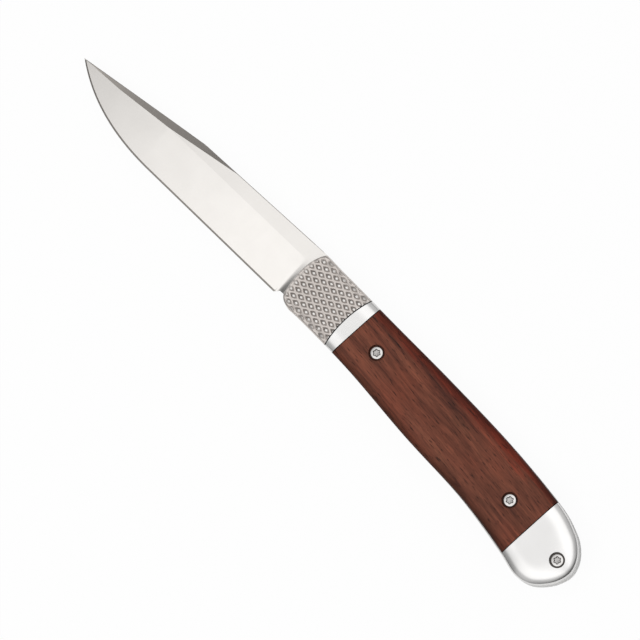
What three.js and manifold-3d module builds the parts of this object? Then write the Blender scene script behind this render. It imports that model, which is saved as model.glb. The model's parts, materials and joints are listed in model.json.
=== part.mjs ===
// A folding pocket knife of the trapper shape, shown open and lying on its back cover.
// The blade turns on a pivot between two steel liners. Each liner carries four covers: a chequered
// bolster, a plain ring, a wood scale and a butt cap. The front bolster is a hidden release: it swings
// on a pin under the wood scale and lifts a spring stud out of the tang, and a coil spring round the
// pivot then throws the blade open.
// Sizes are millimetres. The geometry is drawn about the pivot: +X runs to the butt, +Y to the spine
// and +Z to the front.
import * as THREE from "three";
import { mergeVertices } from "three/addons/utils/BufferGeometryUtils.js";
import Module from "manifold-3d";

const wasm = await Module();
wasm.setup();

// Thicknesses through the knife, from the back cover to the front cover
const COVER_THICKNESS = 4;
const LINER_THICKNESS = 1.2;
const WASHER_THICKNESS = 0.3;
const BLADE_THICKNESS = 3;

const BACK_LINER_Z = COVER_THICKNESS;
const SLOT_Z = BACK_LINER_Z + LINER_THICKNESS;
const BLADE_Z = SLOT_Z + WASHER_THICKNESS;
const BLADE_TOP_Z = BLADE_Z + BLADE_THICKNESS;
const SLOT_TOP_Z = BLADE_TOP_Z + WASHER_THICKNESS;
const COVER_Z = SLOT_TOP_Z + LINER_THICKNESS;
const TOP_Z = COVER_Z + COVER_THICKNESS;

// Fits
const FIXED_FIT = 0.05; // round a pin, screw or rivet that doesn't turn
const RUNNING_FIT = 0.06; // round a pin that something turns on
const JOINT_LINE = 0.1; // between two covers that stay put
const SLIDING_GAP = 0.1; // between the release bolster and what it slides over
const MOVING_GAP = 0.4; // round the hidden moving pieces

// Handle outline
const HANDLE_FRONT = 9.25; // pivot to the foremost point of the bolsters
const HANDLE_BACK = 108.5; // pivot to the end of the butt
const FRONT_SPINE_Y = 9.3; // the handle's two edges at the pivot
const FRONT_BELLY_Y = -9.5;
const WAIST_X = 20;
const WAIST_SPINE_Y = 8.15;
const WAIST_BELLY_Y = -10.85;
const SWELL_X = 45;
const SWELL_SPINE_Y = 6.8;
const SWELL_BELLY_Y = -14.05;
const PALM_X = 70;
const PALM_SPINE_Y = 4.8;
const PALM_BELLY_Y = -16.55;
const BUTT_Y = -11; // height of the point where the butt ends
const BUTT_LENGTH = 20; // along which the handle rounds off
const BUTT_DROP = 11.4; // from BUTT_Y down to the lowest point
const BUTT_RISE = 11.2; // from BUTT_Y up to the shoulder
const NOSE_LENGTH = 15; // of the blank past the front edge, cut off later
const FRONT_CORNER_LENGTH = 2.65; // soft corner of the front edge at the spine
const FRONT_CORNER_HEIGHT = 8.4;
const LOW_CORNER_LENGTH = 5.2; // and at the belly
const LOW_CORNER_HEIGHT = 2.9;
const LOW_CORNER_SETBACK = 0.7; // from the foremost point back to where that corner begins
const OUTLINE_STEPS = 112;

// Crown of the covers
const RIM_HEIGHT = 1.8; // upright wall at the edge
const CROWN_WIDTH = 7; // from the edge to the flat land
const CROWN_POWER = 2.4; // 2 is an ellipse, and more is squarer
const CROWN_STEPS = 4;

// Joint lines between the covers
const SEAM_X = 10; // pivot to the moving seam, on the line through the swing pin
const SEAM_RADIUS = 37.4; // swing pin to the moving seam
const RING_SEAM_X = 14.5; // where the ring meets the wood, level with the pivot
const RING_SEAM_TILT = THREE.MathUtils.degToRad(6.1);
const CAP_LENGTH = 17.05; // butt end to where the wood meets the cap, level with the pivot
const CAP_SEAM_TILT = THREE.MathUtils.degToRad(5.8);

// Blade
const BLADE_SPINE_Y = 9.85;
const CLIP_LENGTH = 43.5; // tip to where the clip leaves the spine
const CLIP_BULGE = 0.05;
const TIP_Y = 4.85;
const TIP_TO_CAP_SCREW = 4.05; // how much further from the pivot the cap screw is
const HEEL_GAP = 2.65; // bolster to the heel of the edge
const HEEL_Y = -8.5;
const RICASSO_Y = -7.1;
const BELLY_LENGTH = 35.8; // tip to where the edge starts to curve
const BELLY_Y = -6.87;
const TIP_SLOPE = 0.8; // rise of the edge for each millimetre at the tip
const GRIND_Y = 4.9; // height of the grind line at the heel
const SWEDGE_LENGTH = 57.5; // tip to the far end of the swedge
const SWEDGE_MEETS_GRIND = 32.5; // tip to where the swedge runs into the grind line
const SWEDGE_MEETS_Y = 6.35;
const SWEDGE_LOW = 13.8; // tip to the lowest point of the swedge line
const SWEDGE_LOW_Y = 5;
const EDGE_BEVEL = 0.55; // height of the sharpened bevel
const EDGE_HALF = 0.05; // half thickness at the very edge
const BEVEL_HALF = 0.3; // half thickness where the sharpened bevel starts
const SWEDGE_HALF = 0.4; // half thickness of the spine along the clip
const TIP_HALF = 0.2;
const HEEL_TO_PLUNGE = 0.8;
const PLUNGE_LENGTH = 1.6; // along which the grind runs out

// Tang and pivot
const CLOSED_ANGLE = THREE.MathUtils.degToRad(175);
const TANG_RADIUS = 9.2;
const PIVOT_RADIUS = 2.5;
const PIVOT_HEAD_RADIUS = 3.3;
const PIVOT_HEAD_HEIGHT = 0.6;
const PIVOT_SCREW_RADIUS = 1.5;
const PIVOT_SCREW_LENGTH = 6.5;
const PIVOT_SCREW_HEAD_RADIUS = 3.5;
const PIVOT_SCREW_HEAD_HEIGHT = 1.2;
const PIVOT_SCREW_DEPTH = 0.3; // the head's face below the back cover's face
const STOP_RADIUS = 1.25;
const STOP_DISTANCE = 7.7;
const STOP_ANGLE = THREE.MathUtils.degToRad(78);
const FRONT_WASHER_RADIUS = 3.75;
const BACK_WASHER_RADIUS = 6.2;

// Opening spring, in a pocket of the back bolster, round the pivot
const SPRING_WIRE = 0.8;
const SPRING_RADIUS = 3.4;
const SPRING_TURNS = 2.3;
const SPRING_PITCH = 1.25;
const SPRING_LEG = 4.2;
const SPRING_HOOK = 0.9; // how far the other end reaches into the tang
const SPRING_POCKET_RADIUS = 4.6;
const SPRING_POCKET_Z = 2.5;
const TANG_RECESS = 1;

// Lock: a stud on a leaf spring drops through the front liner into one of two holes in the tang
const STUD_RADIUS = 0.8;
const STUD_DISTANCE = 4.9;
const STUD_DEPTH = 1; // into the tang
const STUD_COLLAR_RADIUS = 1.8;
const STUD_COLLAR_HEIGHT = 0.8;
const LEAF_THICKNESS = 0.4;
const LEAF_WIDTH = 4;
const LEAF_FOOT_X = 18.2;
const LEAF_FOOT_LENGTH = 3.4;
const LEAF_POST_SPACING = 12;
const LEAF_POST_RADIUS = 1.2;
const LEAF_RIVET_RADIUS = 0.7;
const LEAF_RIVET_HEAD_RADIUS = 1.2;
const LEAF_RIVET_HEAD_HEIGHT = 0.4;

// Release lever, under the ring and the front scale
const RELEASE_ANGLE = THREE.MathUtils.degToRad(2.5);
const LEVER_THICKNESS = 0.8;
const LEVER_HALF_WIDTH = 3;
const LEVER_PAD_HALF_WIDTH = 5.6;
const LEVER_PAD_LENGTH = 11;
const LEVER_PAD_BACK_X = 8.4;
const LEVER_HUB_RADIUS = 3.6;
const LEVER_RIVET_RADIUS = 0.9;
const LEVER_RIVET_LENGTH = 2.2;
const LEVER_RIVET_X = -1.2;
const LEVER_RIVET_SPACING = 8.4;
const SWING_PIN_RADIUS = 1.5;
const SWING_PIN_HEIGHT = 2.6;

// Return spring, round the swing pin
const RETURN_WIRE = 0.5;
const RETURN_RADIUS = 2.3;
const RETURN_TURNS = 1.5;
const RETURN_PITCH = 0.75;
const RETURN_LEG = 8.5;
const RETURN_POST_RADIUS = 0.7;
const RETURN_POST_HEIGHT = 2.6;
const RETURN_PEG_RADIUS = 0.6;

// Screws, all with six-lobed sockets
const SCREW_RADIUS = 1.25;
const SCREW_HEAD_RADIUS = 1.9;
const SCREW_HEAD_HEIGHT = 1.25;
const SCREW_DOME = 0.45;
const SCREW_SIDES = 18;
const SCREW_SINK = 0.25; // top of the head below the cover's face
const COUNTERBORE_RADIUS = 2.3;
const SOCKET_RADIUS = 1;
const SOCKET_LOBE = 0.16;
const SOCKET_DEPTH = 0.8;
const FORE_SCREW_X = 23.4;
const AFT_SCREW_FROM_BUTT = 27.4;
const AFT_SCREW_RISE = 0.3; // from the handle's centreline towards the spine
const CAP_SCREW_FROM_BUTT = 5.4;
const CAP_SCREW_LENGTH = 5; // from under the head
const SPACER_SCREW_RADIUS = 0.8;
const SPACER_SCREW_HEAD_RADIUS = 1.4;
const SPACER_SCREW_HEAD_HEIGHT = 0.6;
const SPACER_SCREW_LENGTH = 2; // from under the head
const SPACER_SCREW_FROM_EDGE = 1.9;
const SPACER_SCREW_XS = [58, 78];

// Spacer between the liners, along the spine and round the butt
const SPACER_FRONT_X = 20;
const SPACER_CLEARANCE = 0.7; // to the folded blade

// Small pins that hold the rings and the back bolster
const DOWEL_RADIUS = 0.75;
const DOWEL_DEPTH = 1.4; // into the cover
const RING_DOWEL_SPACING = 14;
const BOLSTER_DOWEL_X = -4;
const BOLSTER_DOWEL_SPACING = 11;

// Point of the back scale's flat land that is the part's origin
const REST_X = 52;

// Places that follow from the sizes
const SEAM_GAP_RADIUS = SEAM_RADIUS + SLIDING_GAP * 2;
const CAP_SEAM_X = HANDLE_BACK - CAP_LENGTH;
const AFT_SCREW_X = HANDLE_BACK - AFT_SCREW_FROM_BUTT;
const CAP_SCREW_X = HANDLE_BACK - CAP_SCREW_FROM_BUTT;
const TIP_X = TIP_TO_CAP_SCREW - CAP_SCREW_X;
const HEEL_X = -HANDLE_FRONT - HEEL_GAP;
const TIP_REACH = Math.hypot(TIP_X, TIP_Y);
const FAR = 400; // past everything, for cutters

const { lerp, smoothstep } = THREE.MathUtils;

// A closed three.js geometry as a solid that can be joined and cut.
function solid(geometry) {
  const loose = geometry.index ? geometry.toNonIndexed() : geometry;
  loose.deleteAttribute("normal");
  loose.deleteAttribute("uv");
  const { attributes, index } = mergeVertices(loose, 1e-5);
  const triVerts = new Uint32Array(index.array);
  const vertProperties = attributes.position.array;
  return new wasm.Manifold(new wasm.Mesh({ numProp: 3, vertProperties, triVerts }));
}

// An upright plate of the outline, from one height to another.
function plate(outline, z0, z1) {
  const shape = outline instanceof THREE.Shape ? outline : new THREE.Shape(outline);
  const options = { depth: z1 - z0, bevelEnabled: false, curveSegments: 10 };
  return solid(new THREE.ExtrudeGeometry(shape, options).translate(0, 0, z0));
}

function circle(x, y, radius, sides = 24) {
  const turn = (2 * Math.PI) / sides;
  return Array.from({ length: sides }, (_, i) => {
    return new THREE.Vector2(x + radius * Math.cos(i * turn), y + radius * Math.sin(i * turn));
  });
}

const disc = (at, radius, z0, z1, sides) => plate(circle(at.x, at.y, radius, sides), z0, z1);

function box(x0, x1, y0, y1, z0, z1) {
  const corners = [[x0, y0], [x1, y0], [x1, y1], [x0, y1]];
  return plate(corners.map(([x, y]) => new THREE.Vector2(x, y)), z0, z1);
}

// A body less each of the holes.
const without = (body, holes) => holes.reduce((rest, hole) => rest.subtract(hole), body);

// The same piece on the other side of the knife.
const mirrored = (body) => body.mirror([0, 0, 1]).translate([0, 0, TOP_Z]);

// A body turned about an upright axis.
function turned(body, angle, at) {
  const degrees = THREE.MathUtils.radToDeg(angle);
  return body.translate([-at.x, -at.y, 0]).rotate([0, 0, degrees]).translate([at.x, at.y, 0]);
}

// Triangles over the end of a ring: a fan where it is convex, or its filling as a flat shape.
const fan = (ring) => ring.slice(2).map((_, i) => [0, i + 1, i + 2]);
const flatten = (ring) => ring.map((p) => new THREE.Vector2(p.x, p.y));
const flatShape = (ring) => THREE.ShapeUtils.triangulateShape(flatten(ring), []);

// A closed skin over rings of points, each ring with as many points, from the first ring to the last.
function skin(rings, fill = fan) {
  const count = rings[0].length;
  const last = (rings.length - 1) * count;
  const index = [];
  for (let start = 0; start < last; start += count) {
    for (let i = 0; i < count; i += 1) {
      const a = start + i;
      const b = start + ((i + 1) % count);
      index.push(a, b, b + count, a, b + count, a + count);
    }
  }
  fill(rings[0]).forEach(([a, b, c]) => index.push(a, c, b));
  fill(rings.at(-1)).forEach(([a, b, c]) => index.push(last + a, last + b, last + c));
  const positions = rings.flat().flatMap((p) => p.toArray());
  const geometry = new THREE.BufferGeometry();
  geometry.setAttribute("position", new THREE.Float32BufferAttribute(positions, 3));
  geometry.setIndex(index);
  return solid(geometry);
}

// A round wire along a list of points. Each ring is turned as little as possible from the one before.
function wire(points, radius, sides = 6) {
  const rings = [];
  const normal = new THREE.Vector3();
  points.forEach((point, i) => {
    const before = points[Math.max(i - 1, 0)];
    const after = points[Math.min(i + 1, points.length - 1)];
    const along = after.clone().sub(before).normalize();
    if (i === 0) {
      normal.set(0, 0, 1).cross(along);
      if (normal.lengthSq() < 0.01) {
        normal.set(1, 0, 0);
      }
    }
    normal.addScaledVector(along, -normal.dot(along)).normalize();
    const side = along.clone().cross(normal);
    rings.push(
      Array.from({ length: sides }, (_, k) => {
        const turn = (2 * Math.PI * k) / sides;
        const rim = point.clone().addScaledVector(normal, radius * Math.cos(turn));
        return rim.addScaledVector(side, radius * Math.sin(turn));
      }),
    );
  });
  return skin(rings);
}

// Points of a helix about an upright axis, from the first angle on.
function helix(at, radius, z0, pitch, turns, startAngle, stepsPerTurn = 12) {
  const steps = Math.round(turns * stepsPerTurn);
  return Array.from({ length: steps + 1 }, (_, i) => {
    const turn = (turns * i) / steps;
    const angle = startAngle + turn * 2 * Math.PI;
    const point = new THREE.Vector3(Math.cos(angle), Math.sin(angle), 0).multiplyScalar(radius);
    return point.add(new THREE.Vector3(at.x, at.y, z0 + pitch * turn));
  });
}

// Handle outline. The covers' blank runs on past the front edge as a round nose, which is then cut off.
function handleCurve() {
  const nose = -HANDLE_FRONT - NOSE_LENGTH;
  const butt = (back, up) => [HANDLE_BACK - back * BUTT_LENGTH, BUTT_Y + up];
  const points = [
    [nose, (FRONT_SPINE_Y + FRONT_BELLY_Y) / 2],
    [nose + 0.2 * NOSE_LENGTH, FRONT_BELLY_Y + 0.2 * NOSE_LENGTH],
    [nose + 0.63 * NOSE_LENGTH, FRONT_BELLY_Y + 0.02 * NOSE_LENGTH],
    [0, FRONT_BELLY_Y],
    [WAIST_X, WAIST_BELLY_Y],
    [SWELL_X, SWELL_BELLY_Y],
    [PALM_X, PALM_BELLY_Y],
    butt(1, -0.82 * BUTT_DROP),
    butt(0.595, -BUTT_DROP),
    butt(0.365, -0.94 * BUTT_DROP),
    butt(0.18, -0.69 * BUTT_DROP),
    butt(0.05, -0.36 * BUTT_DROP),
    [HANDLE_BACK, BUTT_Y],
    butt(0.07, 0.39 * BUTT_RISE),
    butt(0.24, 0.72 * BUTT_RISE),
    butt(0.425, 0.9 * BUTT_RISE),
    butt(0.645, 1.05 * BUTT_RISE),
    butt(1, 1.18 * BUTT_RISE),
    [PALM_X, PALM_SPINE_Y],
    [SWELL_X, SWELL_SPINE_Y],
    [WAIST_X, WAIST_SPINE_Y],
    [0, FRONT_SPINE_Y],
    [nose + 0.63 * NOSE_LENGTH, FRONT_SPINE_Y + 0.025 * NOSE_LENGTH],
    [nose + 0.2 * NOSE_LENGTH, FRONT_SPINE_Y - 0.175 * NOSE_LENGTH],
  ];
  const knots = points.map(([x, y]) => new THREE.Vector3(x, y, 0));
  const curve = new THREE.CatmullRomCurve3(knots, true, "centripetal");
  return curve.getSpacedPoints(OUTLINE_STEPS).slice(0, -1).map((p) => new THREE.Vector2(p.x, p.y));
}

const BLANK_OUTLINE = handleCurve();

// The outline's belly and spine heights at a place along the handle.
function edgesAt(x) {
  const heights = [];
  BLANK_OUTLINE.forEach((a, i) => {
    const b = BLANK_OUTLINE[(i + 1) % BLANK_OUTLINE.length];
    if ((a.x <= x) !== (b.x <= x)) {
      heights.push(lerp(a.y, b.y, (x - a.x) / (b.x - a.x)));
    }
  });
  return { belly: Math.min(...heights), spine: Math.max(...heights) };
}

// A point on the handle's centreline.
function centreAt(x) {
  const { belly, spine } = edgesAt(x);
  return new THREE.Vector2(x, (belly + spine) / 2);
}

const PIVOT = new THREE.Vector2(0, 0);
const STOP = new THREE.Vector2(Math.cos(STOP_ANGLE), Math.sin(STOP_ANGLE)).multiplyScalar(STOP_DISTANCE);
const STUD = new THREE.Vector2(STUD_DISTANCE, 0);
const SWING_PIN = centreAt(SEAM_X + SEAM_RADIUS);
const FORE_SCREW = centreAt(FORE_SCREW_X);
const AFT_SCREW = centreAt(AFT_SCREW_X).add(new THREE.Vector2(0, AFT_SCREW_RISE));
const CAP_SCREW = new THREE.Vector2(CAP_SCREW_X, BUTT_Y);
const REST = centreAt(REST_X);

// What lies behind the front edge of the bolsters, with its two soft corners.
function behindFrontEdge() {
  const cornerX = -HANDLE_FRONT + FRONT_CORNER_LENGTH;
  const lowCornerX = -HANDLE_FRONT + LOW_CORNER_LENGTH;
  const { spine, belly } = edgesAt(cornerX);
  const keep = new THREE.Shape();
  keep.moveTo(FAR, -FAR);
  keep.lineTo(FAR, FAR);
  keep.lineTo(cornerX, FAR);
  keep.lineTo(cornerX, spine);
  const foremost = spine - FRONT_CORNER_HEIGHT;
  const highBendX = -HANDLE_FRONT + 0.11 * FRONT_CORNER_LENGTH;
  keep.quadraticCurveTo(highBendX, spine - 0.38 * FRONT_CORNER_HEIGHT, -HANDLE_FRONT, foremost);
  const setbackY = belly + LOW_CORNER_HEIGHT;
  keep.quadraticCurveTo(-HANDLE_FRONT, (foremost + setbackY) / 2, -HANDLE_FRONT + LOW_CORNER_SETBACK, setbackY);
  const lowBendX = -HANDLE_FRONT + 0.24 * LOW_CORNER_LENGTH;
  keep.quadraticCurveTo(lowBendX, belly + 0.25 * LOW_CORNER_HEIGHT, lowCornerX, belly);
  keep.lineTo(lowCornerX, -FAR);
  return plate(keep, -FAR, FAR);
}

// What lies behind a joint line that crosses the handle, leaning by the tilt.
function behindSeam(x, tilt) {
  const lean = Math.tan(tilt) * FAR;
  const corners = [[x - lean, -FAR], [2 * FAR, -FAR], [2 * FAR, FAR], [x + lean, FAR]];
  return plate(corners.map(([px, py]) => new THREE.Vector2(px, py)), -FAR, FAR);
}

// The crowned blank of the front covers: an upright rim, then a superellipse up to the flat land.
function coverBlank() {
  const normals = BLANK_OUTLINE.map((_, i) => {
    const after = BLANK_OUTLINE[(i + 1) % BLANK_OUTLINE.length];
    const along = after.clone().sub(BLANK_OUTLINE.at(i - 1)).normalize();
    return new THREE.Vector3(along.y, -along.x, 0);
  });
  const ring = (inset, z) =>
    BLANK_OUTLINE.map((p, i) => new THREE.Vector3(p.x, p.y, z).addScaledVector(normals[i], -inset));
  const rings = [ring(0, COVER_Z)];
  for (let step = 0; step <= CROWN_STEPS; step += 1) {
    const angle = (Math.PI / 2) * (step / CROWN_STEPS);
    const inset = CROWN_WIDTH * (1 - Math.cos(angle) ** (2 / CROWN_POWER));
    const rise = (COVER_THICKNESS - RIM_HEIGHT) * Math.sin(angle) ** (2 / CROWN_POWER);
    rings.push(ring(inset, COVER_Z + RIM_HEIGHT + rise));
  }
  return skin(rings, flatShape);
}

const BLANK = coverBlank().intersect(behindFrontEdge());
const BEHIND_RING = behindSeam(RING_SEAM_X, RING_SEAM_TILT);
const BEHIND_CAP = behindSeam(CAP_SEAM_X, CAP_SEAM_TILT);
const SEAM_DISC = disc(SWING_PIN, SEAM_RADIUS, -FAR, FAR, 144);
const SEAM_GAP_DISC = disc(SWING_PIN, SEAM_GAP_RADIUS, -FAR, FAR, 144);

const bolsterBlank = () => BLANK.subtract(SEAM_GAP_DISC).subtract(BEHIND_RING);
const ringBlank = () => BLANK.intersect(SEAM_DISC).subtract(BEHIND_RING);
const scaleBlank = () => {
  const front = behindSeam(RING_SEAM_X + JOINT_LINE, RING_SEAM_TILT);
  return BLANK.intersect(front).subtract(BEHIND_CAP);
};
const capBlank = () => BLANK.intersect(behindSeam(CAP_SEAM_X + JOINT_LINE, CAP_SEAM_TILT));

// Screws and their holes. A screw stands on its seat with its head up.
const SEAT_Z = TOP_Z - SCREW_SINK - SCREW_HEAD_HEIGHT;

function socket(radius, lobe, z0, z1) {
  const points = Array.from({ length: 12 }, (_, i) => {
    const angle = (i * Math.PI) / 6;
    const reach = radius - lobe + lobe * Math.cos(6 * angle);
    return new THREE.Vector2(reach * Math.cos(angle), reach * Math.sin(angle));
  });
  return plate(points, z0, z1);
}

// A domed screw about the Z axis, with its seat at height 0.
function screw({ radius, length, headRadius, headHeight, dome, socketRadius, socketDepth }) {
  const shank = [[0, -length], [radius, -length], [radius, 0]];
  const profile = [...shank, [headRadius, 0], [headRadius, headHeight - dome]];
  for (let step = 1; step <= 3; step += 1) {
    const angle = (Math.PI / 2) * (step / 3);
    profile.push([headRadius * Math.cos(angle), headHeight - dome + dome * Math.sin(angle)]);
  }
  profile[profile.length - 1][0] = 0;
  const points = profile.map(([r, z]) => new THREE.Vector2(r, z));
  const body = solid(new THREE.LatheGeometry(points, SCREW_SIDES).rotateX(Math.PI / 2));
  return body.subtract(socket(socketRadius, SOCKET_LOBE, headHeight - socketDepth, headHeight + 1));
}

const coverScrew = (at, length) =>
  screw({
    radius: SCREW_RADIUS,
    length,
    headRadius: SCREW_HEAD_RADIUS,
    headHeight: SCREW_HEAD_HEIGHT,
    dome: SCREW_DOME,
    socketRadius: SOCKET_RADIUS,
    socketDepth: SOCKET_DEPTH,
  }).translate([at.x, at.y, SEAT_Z]);

const coverScrewHole = (at) =>
  disc(at, COUNTERBORE_RADIUS, SEAT_Z, TOP_Z + 1).add(disc(at, SCREW_RADIUS + FIXED_FIT, 0, SEAT_Z + 1));

// A scale screw reaches through the wood and is threaded into the liner.
const SCALE_SCREW_LENGTH = SEAT_Z - SLOT_TOP_Z - 0.1;

// Countersunk screws that hold the liners to the spacer, hidden under the scales
const spacerScrewPlaces = SPACER_SCREW_XS.map((x) => {
  return new THREE.Vector2(x, edgesAt(x).spine - SPACER_SCREW_FROM_EDGE);
});
const SPACER_SEAT_Z = COVER_Z - SPACER_SCREW_HEAD_HEIGHT;

const spacerScrew = (at) =>
  disc(at, SPACER_SCREW_HEAD_RADIUS, SPACER_SEAT_Z, COVER_Z).add(
    disc(at, SPACER_SCREW_RADIUS, SPACER_SEAT_Z - SPACER_SCREW_LENGTH, SPACER_SEAT_Z + 0.1),
  );

const spacerScrewHole = (at) =>
  disc(at, SPACER_SCREW_HEAD_RADIUS + FIXED_FIT, SPACER_SEAT_Z, COVER_Z + 1).add(
    disc(at, SPACER_SCREW_RADIUS + FIXED_FIT, SPACER_SEAT_Z - SPACER_SCREW_LENGTH, COVER_Z),
  );

// Dowels under the rings and the back bolster, flush with the liner's inner face
const ringDowelPlaces = [-1, 1].map((side) => {
  const { belly, spine } = edgesAt((SEAM_X + RING_SEAM_X) / 2);
  const middle = (belly + spine) / 2;
  const y = middle + (side * RING_DOWEL_SPACING) / 2;
  const seam = SWING_PIN.x - Math.sqrt(SEAM_RADIUS ** 2 - (y - SWING_PIN.y) ** 2);
  const wood = RING_SEAM_X + Math.tan(RING_SEAM_TILT) * y;
  return new THREE.Vector2((seam + wood) / 2, y);
});
const bolsterDowelPlaces = [-1, 1].map(
  (side) => new THREE.Vector2(BOLSTER_DOWEL_X, (side * BOLSTER_DOWEL_SPACING) / 2),
);
const dowel = (at) => disc(at, DOWEL_RADIUS, SLOT_TOP_Z, COVER_Z + DOWEL_DEPTH, 16);
const dowelHole = (at) => disc(at, DOWEL_RADIUS + FIXED_FIT, 0, COVER_Z + DOWEL_DEPTH, 16);

// Release lever. The margin grows it all round, for the pocket that it swings in.
const LEVER_TOP_Z = COVER_Z + LEVER_THICKNESS;
const LEAF_Z = LEVER_TOP_Z + SLIDING_GAP;
const LEAF_TOP_Z = LEAF_Z + LEAF_THICKNESS;
const LEAF_LIFT = STUD_DEPTH + SLIDING_GAP;
const POCKET_TOP_Z = LEAF_TOP_Z + LEAF_LIFT + SLIDING_GAP;
const RELEASE_TRAVEL_AT_STUD = RELEASE_ANGLE * (SWING_PIN.x - STUD.x);
const RELEASE_TRAVEL_AT_SCREW = RELEASE_ANGLE * (SWING_PIN.x - FORE_SCREW.x);
const SCREW_WINDOW_RADIUS = SCREW_RADIUS + RELEASE_TRAVEL_AT_SCREW + MOVING_GAP;

function leverOutline(margin, z0, z1) {
  const half = LEVER_HALF_WIDTH + margin;
  const armBack = SWING_PIN.x;
  const arm = [
    [LEVER_PAD_BACK_X - 1, -half],
    [armBack, SWING_PIN.y - half],
    [armBack, SWING_PIN.y + half],
    [LEVER_PAD_BACK_X - 1, half],
  ];
  const pad = LEVER_PAD_HALF_WIDTH + margin;
  const padFront = LEVER_PAD_BACK_X - LEVER_PAD_LENGTH - margin;
  const eye = disc(FORE_SCREW, SCREW_WINDOW_RADIUS + 1.4 + margin, z0, z1);
  const hub = disc(SWING_PIN, LEVER_HUB_RADIUS + margin, z0, z1);
  return plate(arm.map(([x, y]) => new THREE.Vector2(x, y)), z0, z1)
    .add(box(padFront, LEVER_PAD_BACK_X + margin, -pad, pad, z0, z1))
    .add(eye)
    .add(hub);
}

const leverRivetPlaces = [-1, 1].map(
  (side) => new THREE.Vector2(LEVER_RIVET_X, (side * LEVER_RIVET_SPACING) / 2),
);
// The return spring spans a post on the liner and a peg on the lever.
const RETURN_END_X = SWING_PIN.x - RETURN_LEG + 1.5;
const PEG = new THREE.Vector2(
  RETURN_END_X,
  SWING_PIN.y + RETURN_RADIUS - RETURN_WIRE / 2 - RETURN_PEG_RADIUS - FIXED_FIT * 3,
);
const POST = new THREE.Vector2(
  RETURN_END_X,
  SWING_PIN.y - LEVER_HALF_WIDTH - RETURN_POST_RADIUS - MOVING_GAP,
);

function releaseLever() {
  const window = box(
    STUD.x - STUD_COLLAR_RADIUS - SLIDING_GAP,
    STUD.x + STUD_COLLAR_RADIUS + SLIDING_GAP,
    STUD.y - STUD_COLLAR_RADIUS - SLIDING_GAP,
    STUD.y + STUD_RADIUS + RELEASE_TRAVEL_AT_STUD + SLIDING_GAP,
    0,
    FAR,
  );
  const holes = [
    window,
    disc(FORE_SCREW, SCREW_WINDOW_RADIUS, 0, FAR),
    disc(SWING_PIN, SWING_PIN_RADIUS + RUNNING_FIT, 0, FAR),
    ...leverRivetPlaces.map((at) => disc(at, LEVER_RIVET_RADIUS + FIXED_FIT, 0, FAR, 20)),
  ];
  const lever = without(leverOutline(0, COVER_Z, LEVER_TOP_Z), holes);
  return lever.add(disc(PEG, RETURN_PEG_RADIUS, COVER_Z, COVER_Z + RETURN_POST_HEIGHT, 16));
}

// Everything the release needs room for, between the front liner and the covers
function releasePocket() {
  const steps = [0, 0.5, 1];
  const top = LEVER_TOP_Z + SLIDING_GAP * 2;
  const swings = steps.map((share) =>
    turned(leverOutline(MOVING_GAP, COVER_Z - 1, top), share * RELEASE_ANGLE, SWING_PIN),
  );
  const leafHalf = LEAF_WIDTH / 2 + MOVING_GAP;
  const leaf = box(STUD.x, LEAF_FOOT_X, -leafHalf, leafHalf, COVER_Z - 1, POCKET_TOP_Z);
  const footHalf = LEAF_POST_SPACING / 2 + LEAF_POST_RADIUS + MOVING_GAP;
  const middle = centreAt(LEAF_FOOT_X).y;
  const foot = box(
    LEAF_FOOT_X - LEAF_FOOT_LENGTH / 2 - MOVING_GAP,
    LEAF_FOOT_X + LEAF_FOOT_LENGTH / 2 + MOVING_GAP,
    middle - footHalf,
    middle + footHalf,
    COVER_Z - 1,
    LEAF_TOP_Z + LEAF_RIVET_HEAD_HEIGHT + SLIDING_GAP,
  );
  const coilTop = COVER_Z + SWING_PIN_HEIGHT + SLIDING_GAP;
  const coil = disc(SWING_PIN, RETURN_RADIUS + RETURN_WIRE / 2 + MOVING_GAP * 2, COVER_Z - 1, coilTop);
  const legs = box(
    SWING_PIN.x - RETURN_LEG - MOVING_GAP,
    SWING_PIN.x,
    POST.y - RETURN_POST_RADIUS - MOVING_GAP,
    PEG.y + RETURN_WIRE * 2 + RETURN_PEG_RADIUS + MOVING_GAP,
    COVER_Z - 1,
    coilTop,
  );
  return swings.concat([leaf, foot, coil, legs]).reduce((all, piece) => all.add(piece));
}

// The leaf's tip, its stud and the room they need inside the release bolster
function studRoom() {
  const half = LEAF_WIDTH / 2 + RELEASE_TRAVEL_AT_STUD + MOVING_GAP;
  return box(STUD.x - LEAF_WIDTH / 2 - MOVING_GAP * 2, FAR, -half, half, COVER_Z - 1, POCKET_TOP_Z);
}

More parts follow.
